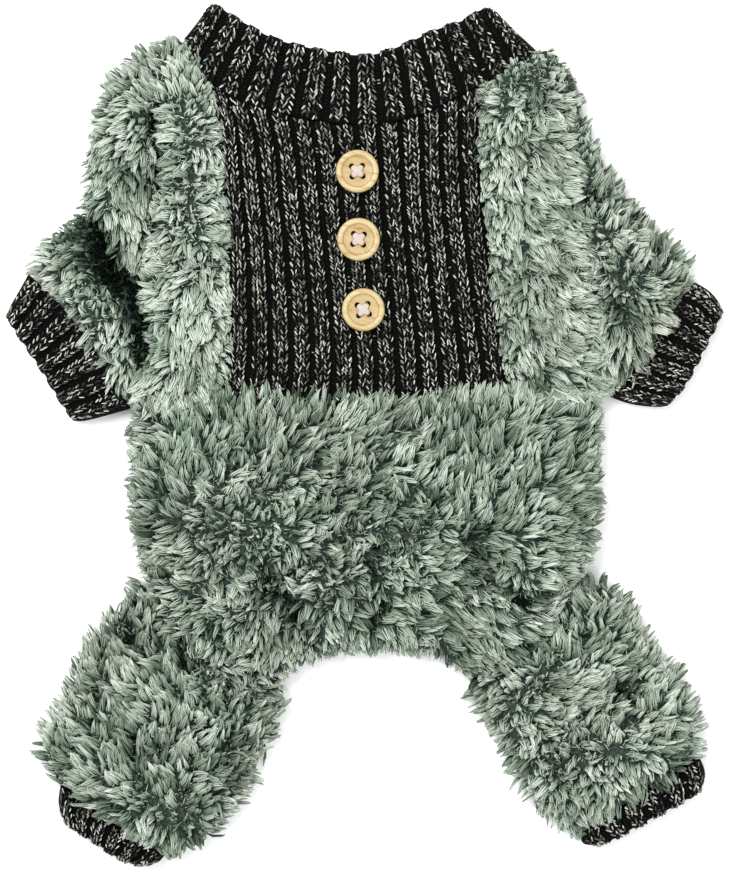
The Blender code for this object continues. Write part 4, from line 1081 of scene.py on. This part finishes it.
def ribFaces(piece):
    # the ground of a rib piece as a grid of rows, with its inner face
    ribs = piece["ribs"]
    across = np.linspace(0, 1, ribs * knit["samplesPerRib"] + 1)
    down = np.linspace(0, 1, piece["rows"] + 1)
    plan = turnedIn(clothPlan(piece["edges"], across, down), knit["turnedIn"])
    profile = ribProfile(across, ribs)
    raised = knit["ribHeight"] * profile - knit["groundDrop"]
    if piece["shape"] == "panel":
        upper = np.broadcast_to(piece["base"] + knit["wall"] + raised, plan.shape[:2])
        lower = np.full(plan.shape[:2], piece["base"] + 0.1)
        return atHeight(plan, upper), atHeight(plan, lower)
    for k, share in enumerate(down):
        drawn = knit["cornerRound"] * share ** 9
        plan[k] = drawnIn(plan[k:k + 1], drawn, drawn, 4.0)[0]
    outward = unit(plan[-1] - plan[-3])
    plan += outward * ((profile - 0.7) * knit["scallop"])[:, None] * down[:, None, None] ** 6
    stations = np.array(piece["opening"])
    middle = np.interp(down, stations[:, 0], stations[:, 1])[:, None]
    gap = np.interp(down, stations[:, 0], stations[:, 2])[:, None]
    fromRim = runLengths(plan)[-1:] - runLengths(plan)
    rounded = 0.35 + 0.65 * quarterRound(fromRim, knit["rimTurn"])
    reach = (gap / 2 + (knit["wall"] + raised) * rounded) * quarterRound(fromFolds(plan), knit["foldTurn"])
    outer = tubeGrid(plan, middle + reach, np.maximum(middle - reach, knit["groundGap"]))
    inside = drawnIn(plan, knit["hollow"], knit["hollow"])
    halfGap = gap / 2 * np.ones(plan.shape[1])
    return outer, tubeGrid(inside, middle + halfGap, middle - halfGap)


def onGrid(values, rows, columns, ring):
    # values read between the rows and columns of a grid
    last = values.shape[0] - 1
    rows = np.clip(rows, 0, last)
    i = np.minimum(rows.astype(int), last - 1)
    v = (rows - i)[..., None]
    if ring:
        j = np.floor(columns).astype(int)
        u = (columns - j)[..., None]
        k = (j + 1) % values.shape[1]
        j = j % values.shape[1]
    else:
        columns = np.clip(columns, 0, values.shape[1] - 1)
        j = np.minimum(columns.astype(int), values.shape[1] - 2)
        u = (columns - j)[..., None]
        k = j + 1
    return between(values, i, j, k, u, v)


def twoPlies(paths, ups, gap, firstTurn, twist):
    # each stitch leg as two strands laid round each other, the light one first
    along = unit(np.gradient(paths, axis=1))
    across = unit(np.cross(along, ups))
    lift = np.cross(across, along)
    turn = np.radians(firstTurn[:, None] + np.linspace(0, twist, paths.shape[1]))[..., None]
    apart = gap[..., None] * (np.cos(turn) * across + 0.8 * np.sin(turn) * lift)
    return np.concatenate([paths + apart, paths - apart])


def purlBumps(piece, valleys, grid, normals, ring, dice):
    # short loops across the valleys between the ribs
    perRib = knit["samplesPerRib"]
    valley, bump = [part.ravel().astype(float) for part in np.meshgrid(
        valleys, np.arange(1.5, piece["rows"] - 1), indexing="ij")]
    count = len(valley)
    s = np.array(knit["legStations"]) * 2 - 1
    columns = (valley[:, None] + 0.10 * s + dice.normal(0, 0.01, (count, 1))) * perRib
    rowAt = bump[:, None] + 0.16 * (1 - s ** 2) + dice.normal(0, 0.12, (count, 1))
    ups = onGrid(normals, rowAt, columns, ring)
    paths = onGrid(grid, rowAt, columns, ring) + ups * (0.1 + 0.3 * (1 - s ** 2))[..., None]
    # mostly near black, partly the black ply and partly painted shade deep in the valleys; now and then a
    # light one
    shades = np.where(dice.random(count) < 0.04, 0.8, dice.uniform(0, 0.2, count))
    return paths, ups, shades


def knitStitches(piece, grid, normals, ring):
    # two wales of V stitches up every rib, and the purl bumps between the ribs
    dice = np.random.default_rng(piece["seed"])
    ribs, rows = piece["ribs"], piece["rows"]
    allRibs = ribs * 2 if ring else ribs
    perRib = knit["samplesPerRib"]
    rib, wale, side, row = [part.ravel().astype(float) for part in np.meshgrid(
        np.arange(allRibs), knit["wales"], (-1, 1), np.arange(rows - knit["rimGap"]), indexing="ij")]
    count = len(rib)
    s = np.array(knit["legStations"])
    spread = 0.03 + 0.105 * s + dice.normal(0, 0.025, (count, 1)) * (s - 0.5)
    jitter = dice.normal(0, 0.024, (count, 1))
    columns = (rib[:, None] + wale[:, None] + side[:, None] * spread + jitter) * perRib
    rowAt = row[:, None] + knit["legRows"] * (1 - s) - 0.1 + dice.normal(0, 0.25, (count, 1))
    rowAt = np.minimum(rowAt, rows - knit["rimGap"] - 0.2 * (1 - s))
    paths = onGrid(grid, rowAt, columns, ring)
    ups = onGrid(normals, rowAt, columns, ring)
    pitch = np.linalg.norm(onGrid(grid, rowAt[:, 2:3], columns[:, 2:3] + perRib / 2, ring)
                           - onGrid(grid, rowAt[:, 2:3], columns[:, 2:3] - perRib / 2, ring), axis=-1)
    radius = np.clip(knit["plyShare"] * pitch, 0.22, 0.4) * dice.uniform(0.8, 1.2, (count, 1))
    paths = paths + ups * (knit["legLift"] * np.sin(math.pi * s) + 0.2 + radius)[..., None]
    plies = twoPlies(paths, ups, 0.85 * radius, 20 + dice.uniform(-25, 25, count), knit["plyTwist"])
    patch = ripple(np.stack([rib * 7.0, row * 2.5], -1), 10, piece["seed"])
    light = dice.random(count) < knit["lightShare"] * piece["light"] + 0.16 * patch
    firstPly = np.where(light, dice.uniform(*knit["lightShades"], count),
                        dice.uniform(*knit["dimShades"], count))
    grey = dice.random(count) < knit["greyShare"]
    secondPly = np.where(grey, dice.uniform(*knit["greyShades"], count),
                         dice.uniform(*knit["blackShades"], count))

    valleys = [k for k in range(allRibs) if k % ribs]  # none along a fold or a seam
    bumpPaths, bumpUps, bumpShades = purlBumps(piece, valleys, grid, normals, ring, dice)
    paths = np.concatenate([plies, bumpPaths])
    paths[..., 2] = np.maximum(paths[..., 2], knit["stitchGap"])
    ups = np.concatenate([ups, ups, bumpUps])
    radii = np.concatenate([radius, radius, np.full((len(bumpPaths), 1), knit["bumpRadius"])])
    return sweptYarns(piece["node"] + "_stitches", paths, ups, radii * np.array(knit["legTaper"]),
                      strandFlatness, strandSides, np.concatenate([firstPly, secondPly, bumpShades]))


def makeRib(piece):
    name = piece["node"]
    ring = piece["shape"] == "ring"
    outer, inner = ribFaces(piece)
    normals = gridNormals(outer, ring)
    ground = closedShell(name + "_ground", outer, inner, ring)
    ground.data.materials.append(ribGround)
    stitches = knitStitches(piece, outer, normals, ring)
    stitches.data.materials.append(marledYarn)
    for thing in (ground, stitches):
        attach(thing, "root")
    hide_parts(name)
    print(f"{name}: {trianglesIn(stitches)} triangles of stitches")


bib = {
    "node": "bib", "seed": 61, "light": 1.0, "shape": "panel", "ribs": 13, "rows": 76, "base": 7.9,
    "edges": {"top": ("neckFront",), "bottom": ("waistMiddle",), "left": ("bibLeft",),
              "right": ("bibRight",)},
    "restsOn": ("back_backing",), "cut": (121.0, 136.0, 13500.0),
}
makeRib(bib)

# "opening" rows: share of the way to the rim, height of the ring's middle, gap between its walls.
collar = {
    "node": "collar", "seed": 67, "light": 0.95, "shape": "ring", "ribs": 14, "rows": 19,
    "opening": [(0.0, 7.7, 0.8), (0.5, 6.3, 1.0), (1.0, 5.3, 1.4)],
    "edges": {"top": ("neckLeft", "neckFront", "neckRight"), "bottom": ("collarRim",),
              "left": ("collarFoldLeft",), "right": ("collarFoldRight",)},
    "restsOn": (), "cut": (320.0, 31.0, 8570.0),
}
makeRib(collar)

cuff = {"shape": "ring", "opening": [(0.0, 5.2, 0.8), (1.0, 5.0, 1.4)], "restsOn": ()}
cuffFrontLeft = {
    **cuff, "node": "cuff_front_left", "seed": 71, "light": 0.9, "ribs": 7, "rows": 14,
    "edges": {"top": ("wristLeft",), "bottom": ("cuffLeftRim",), "left": ("cuffLeftOuter",),
              "right": ("cuffLeftUnder",)},
    "cut": (136.0, 25.0, 2910.0),
}
makeRib(cuffFrontLeft)

cuffFrontRight = {
    **cuff, "node": "cuff_front_right", "seed": 73, "light": 0.95, "ribs": 7, "rows": 14,
    "edges": {"top": ("wristRight",), "bottom": ("cuffRightRim",), "left": ("cuffRightOuter",),
              "right": ("cuffRightUnder",)},
    "cut": (118.0, 25.0, 2280.0),
}
makeRib(cuffFrontRight)

cuffHindLeft = {
    **cuff, "node": "cuff_hind_left", "seed": 79, "light": 0.9, "ribs": 6, "rows": 9,
    "edges": {"top": ("ankleLeft",), "bottom": ("hindCuffLeftRim",), "left": ("hindCuffLeftOuter",),
              "right": ("hindCuffLeftInner",)},
    "cut": (100.0, 17.0, 1075.0),
}
makeRib(cuffHindLeft)

cuffHindRight = {
    **cuff, "node": "cuff_hind_right", "seed": 83, "light": 0.95, "ribs": 6, "rows": 9,
    "edges": {"top": ("ankleRight",), "bottom": ("hindCuffRightRim",), "left": ("hindCuffRightOuter",),
              "right": ("hindCuffRightInner",)},
    "cut": (118.0, 15.0, 1310.0),
}
makeRib(cuffHindRight)

buttons = {
    # x, y and how far each is turned, in degrees
    "places": {"button_top": (-3.0, 110.5, 3.0), "button_middle": (-2.5, 82.0, -4.0),
               "button_bottom": (-0.5, 52.5, 8.0)},
    "radius": 9.0, "base": 12.7, "steps": 96,
    "hole": 1.1, "holePitch": 4.4, "holeSteps": 24,
    "sharpAngle": 40.0,
    # outline from the axis out over the rim and back, as share of the radius and height
    "outline": [(0.0, 0.0), (0.84, 0.0), (0.93, 0.12), (0.98, 0.45), (1.0, 0.95), (1.0, 2.1), (0.985, 2.7),
                (0.95, 3.1), (0.9, 3.33), (0.85, 3.38), (0.79, 3.28), (0.745, 3.02), (0.725, 2.7),
                (0.71, 2.35), (0.66, 2.22), (0.4, 2.2), (0.0, 2.2)],
    "drill": [(0.0, -1.0), (1.0, -1.0), (1.0, 1.75), (1.1, 2.05), (1.45, 2.45), (1.6, 4.0), (0.0, 4.0)],
    "threadRadius": 0.42, "threadSides": 8, "threadPoints": 17,
    "threadLanes": (-1.5, -0.5, 0.5, 1.5),
    "laneGap": 0.62,
    "laneClosing": 0.55,  # how far the lanes draw together towards a hole
    "threadRise": 2.5,  # over the foot of the button
    "crossRise": 0.3,  # the second diagonal over the first
}


def turned(name, outline, radius, centre, steps):
    # an outline of (share of the radius, height) turned once round the axis
    shape = bmesh.new()
    spin = 2 * math.pi * np.arange(steps) / steps
    rings = []
    for share, height in outline:
        if share == 0:
            rings.append([shape.verts.new((centre[0], centre[1], centre[2] + height))] * steps)
        else:
            rings.append([shape.verts.new((centre[0] + share * radius * math.cos(a),
                                           centre[1] + share * radius * math.sin(a),
                                           centre[2] + height)) for a in spin])
    for lower, upper in zip(rings, rings[1:]):
        for k in range(steps):
            m = (k + 1) % steps
            corners = [lower[k], lower[m], upper[m], upper[k]]
            shape.faces.new(list(dict.fromkeys(corners)))
    bmesh.ops.recalc_face_normals(shape, faces=shape.faces)
    bmesh.ops.scale(shape, vec=(metresPerMm,) * 3, verts=shape.verts)
    mesh = bpy.data.meshes.new(name)
    shape.to_mesh(mesh)
    shape.free()
    thing = bpy.data.objects.new(name, mesh)
    bpy.context.scene.collection.objects.link(thing)
    return thing


def sewOn(node, centre, corners):
    # four turns of thread over each diagonal, down through the holes into the knit
    half = buttons["holePitch"] / 2
    paths = []
    t = np.linspace(-1, 1, buttons["threadPoints"])
    along = np.clip(1.22 * t, -1, 1)
    for first, layer in ((corners[2], 0.0), (corners[3], buttons["crossRise"])):
        way = np.array(first) / half
        beside = np.array([-way[1], way[0]]) / math.sqrt(2)
        for lane in buttons["threadLanes"]:
            closing = 1 - buttons["laneClosing"] * np.abs(along[:, None]) ** 3
            spread = lane * buttons["laneGap"] * closing
            xy = np.array(centre[:2]) + along[:, None] * way * (half - 0.28) + spread * beside
            arch = (0.75 - 0.1 * abs(lane)) * (1 - along ** 2)
            dive = 12.0 * np.maximum(np.abs(t) - 0.8, 0)
            z = centre[2] + buttons["threadRise"] + layer + arch - dive
            paths.append(atHeight(xy, z))
    paths = np.array(paths)
    ups = np.broadcast_to(np.array([0.0, 0.0, 1.0]), paths.shape) + 0.001  # never quite along the thread
    radii = np.full(paths.shape[:2], buttons["threadRadius"])
    thread = sweptYarns(node + "_thread", paths, ups, radii, 1.0, buttons["threadSides"],
                        np.full(len(paths), 0.5))
    thread.data.materials.append(cottonThread)
    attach(thread, "root")


def makeButton(node, place):
    centre = (place[0], place[1], buttons["base"])
    button = turned(node + "_turned", buttons["outline"], buttons["radius"], centre, buttons["steps"])
    half = buttons["holePitch"] / 2
    spin = math.radians(place[2])
    corners = [(x * math.cos(spin) - y * math.sin(spin), x * math.sin(spin) + y * math.cos(spin))
               for x, y in ((-half, -half), (half, -half), (half, half), (-half, half))]
    for x, y in corners:
        drill = turned("drill", buttons["drill"], buttons["hole"],
                       (centre[0] + x, centre[1] + y, centre[2]), buttons["holeSteps"])
        cut = button.modifiers.new("hole", "BOOLEAN")
        cut.operation = "DIFFERENCE"
        cut.solver = "EXACT"
        cut.object = drill
        bpy.context.view_layer.update()
        withHole = button.evaluated_get(bpy.context.evaluated_depsgraph_get())
        drilled = bpy.data.meshes.new_from_object(withHole)
        button.modifiers.clear()
        button.data = drilled
        bpy.data.objects.remove(drill)
    button.data.shade_smooth()
    button.data.set_sharp_from_angle(angle=math.radians(buttons["sharpAngle"]))
    button.data.materials.clear()
    button.data.materials.append(buttonWood)
    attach(button, "root")
    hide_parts(node)
    sewOn(node, centre, corners)


for node, place in buttons["places"].items():
    makeButton(node, place)
print("buttons sewn on")

studio = {
    "photoHeight": 872,
    "mmPerPixel": 0.42,  # 18 mm buttons are 43 pixels across in the photo
    "centre": (0.42, -0.42), "focusHeight": 10.0, "distance": 1800.0,
    "sensor": 36.0,
    "tableSize": 8.0,  # from here on in metres
    "tableDrop": 0.0002,
    "softboxes": {"window_side": ((-0.9, 0.8, 1.9), 1.2, 50.0), "fill_side": ((1.3, -0.6, 1.6), 1.4, 18.0)},
    "sky": "#f6f8f7", "skyStrength": 1.12,
}


def makeTabletop():
    # Matt white laminate board, a trace of unevenness in its tone.
    material = newMaterial("white_laminate_board")
    place = addNode(material, "ShaderNodeTexCoord")
    mottle = addNode(material, "ShaderNodeTexNoise", {"Scale": 6.0, "Detail": 2.0},
                     {0: place.outputs["Object"]})
    tone = addNode(material, "ShaderNodeValToRGB", {"stops": [(0.3, "#f7f7f7"), (0.7, "#fbfbfb")]},
                   {0: mottle.outputs[0]})
    finished(material, {"Base Color": tone.outputs[0]}, {"Roughness": 0.8})
    bpy.ops.mesh.primitive_plane_add(size=studio["tableSize"], location=(0, 0, -studio["tableDrop"]))
    top = bpy.context.object
    top.name = "tabletop"
    top.data.materials.append(material)


def softbox(name, place, size, power):
    # a round one, turned to face the garment
    light = bpy.data.lights.new(name, "AREA")
    light.shape = "DISK"
    light.size = size
    light.energy = power
    lamp = bpy.data.objects.new(name, light)
    lamp.location = place
    lamp.rotation_euler = (-Vector(place)).to_track_quat("-Z", "Y").to_euler()
    bpy.context.scene.collection.objects.link(lamp)


makeTabletop()
for name, (place, size, power) in studio["softboxes"].items():
    softbox(name, place, size, power)
world = bpy.data.worlds.new("studio")
world.use_nodes = True
background = world.node_tree.nodes["Background"]
background.inputs["Color"].default_value = colour(studio["sky"])
background.inputs["Strength"].default_value = studio["skyStrength"]
scene = bpy.context.scene
scene.world = world
scene.view_settings.view_transform = "Standard"
scene.view_settings.look = "None"

lens = bpy.data.cameras.new("camera")
lens.sensor_width = studio["sensor"]
lens.lens = studio["sensor"] * studio["distance"] / (studio["photoHeight"] * studio["mmPerPixel"])
lens.clip_start = 0.1
lens.clip_end = 20.0
camera = bpy.data.objects.new("camera", lens)
camera.location = (studio["centre"][0] * metresPerMm, studio["centre"][1] * metresPerMm,
                   (studio["distance"] + studio["focusHeight"]) * metresPerMm)
scene.collection.objects.link(camera)
scene.camera = camera
print("lights and camera set")
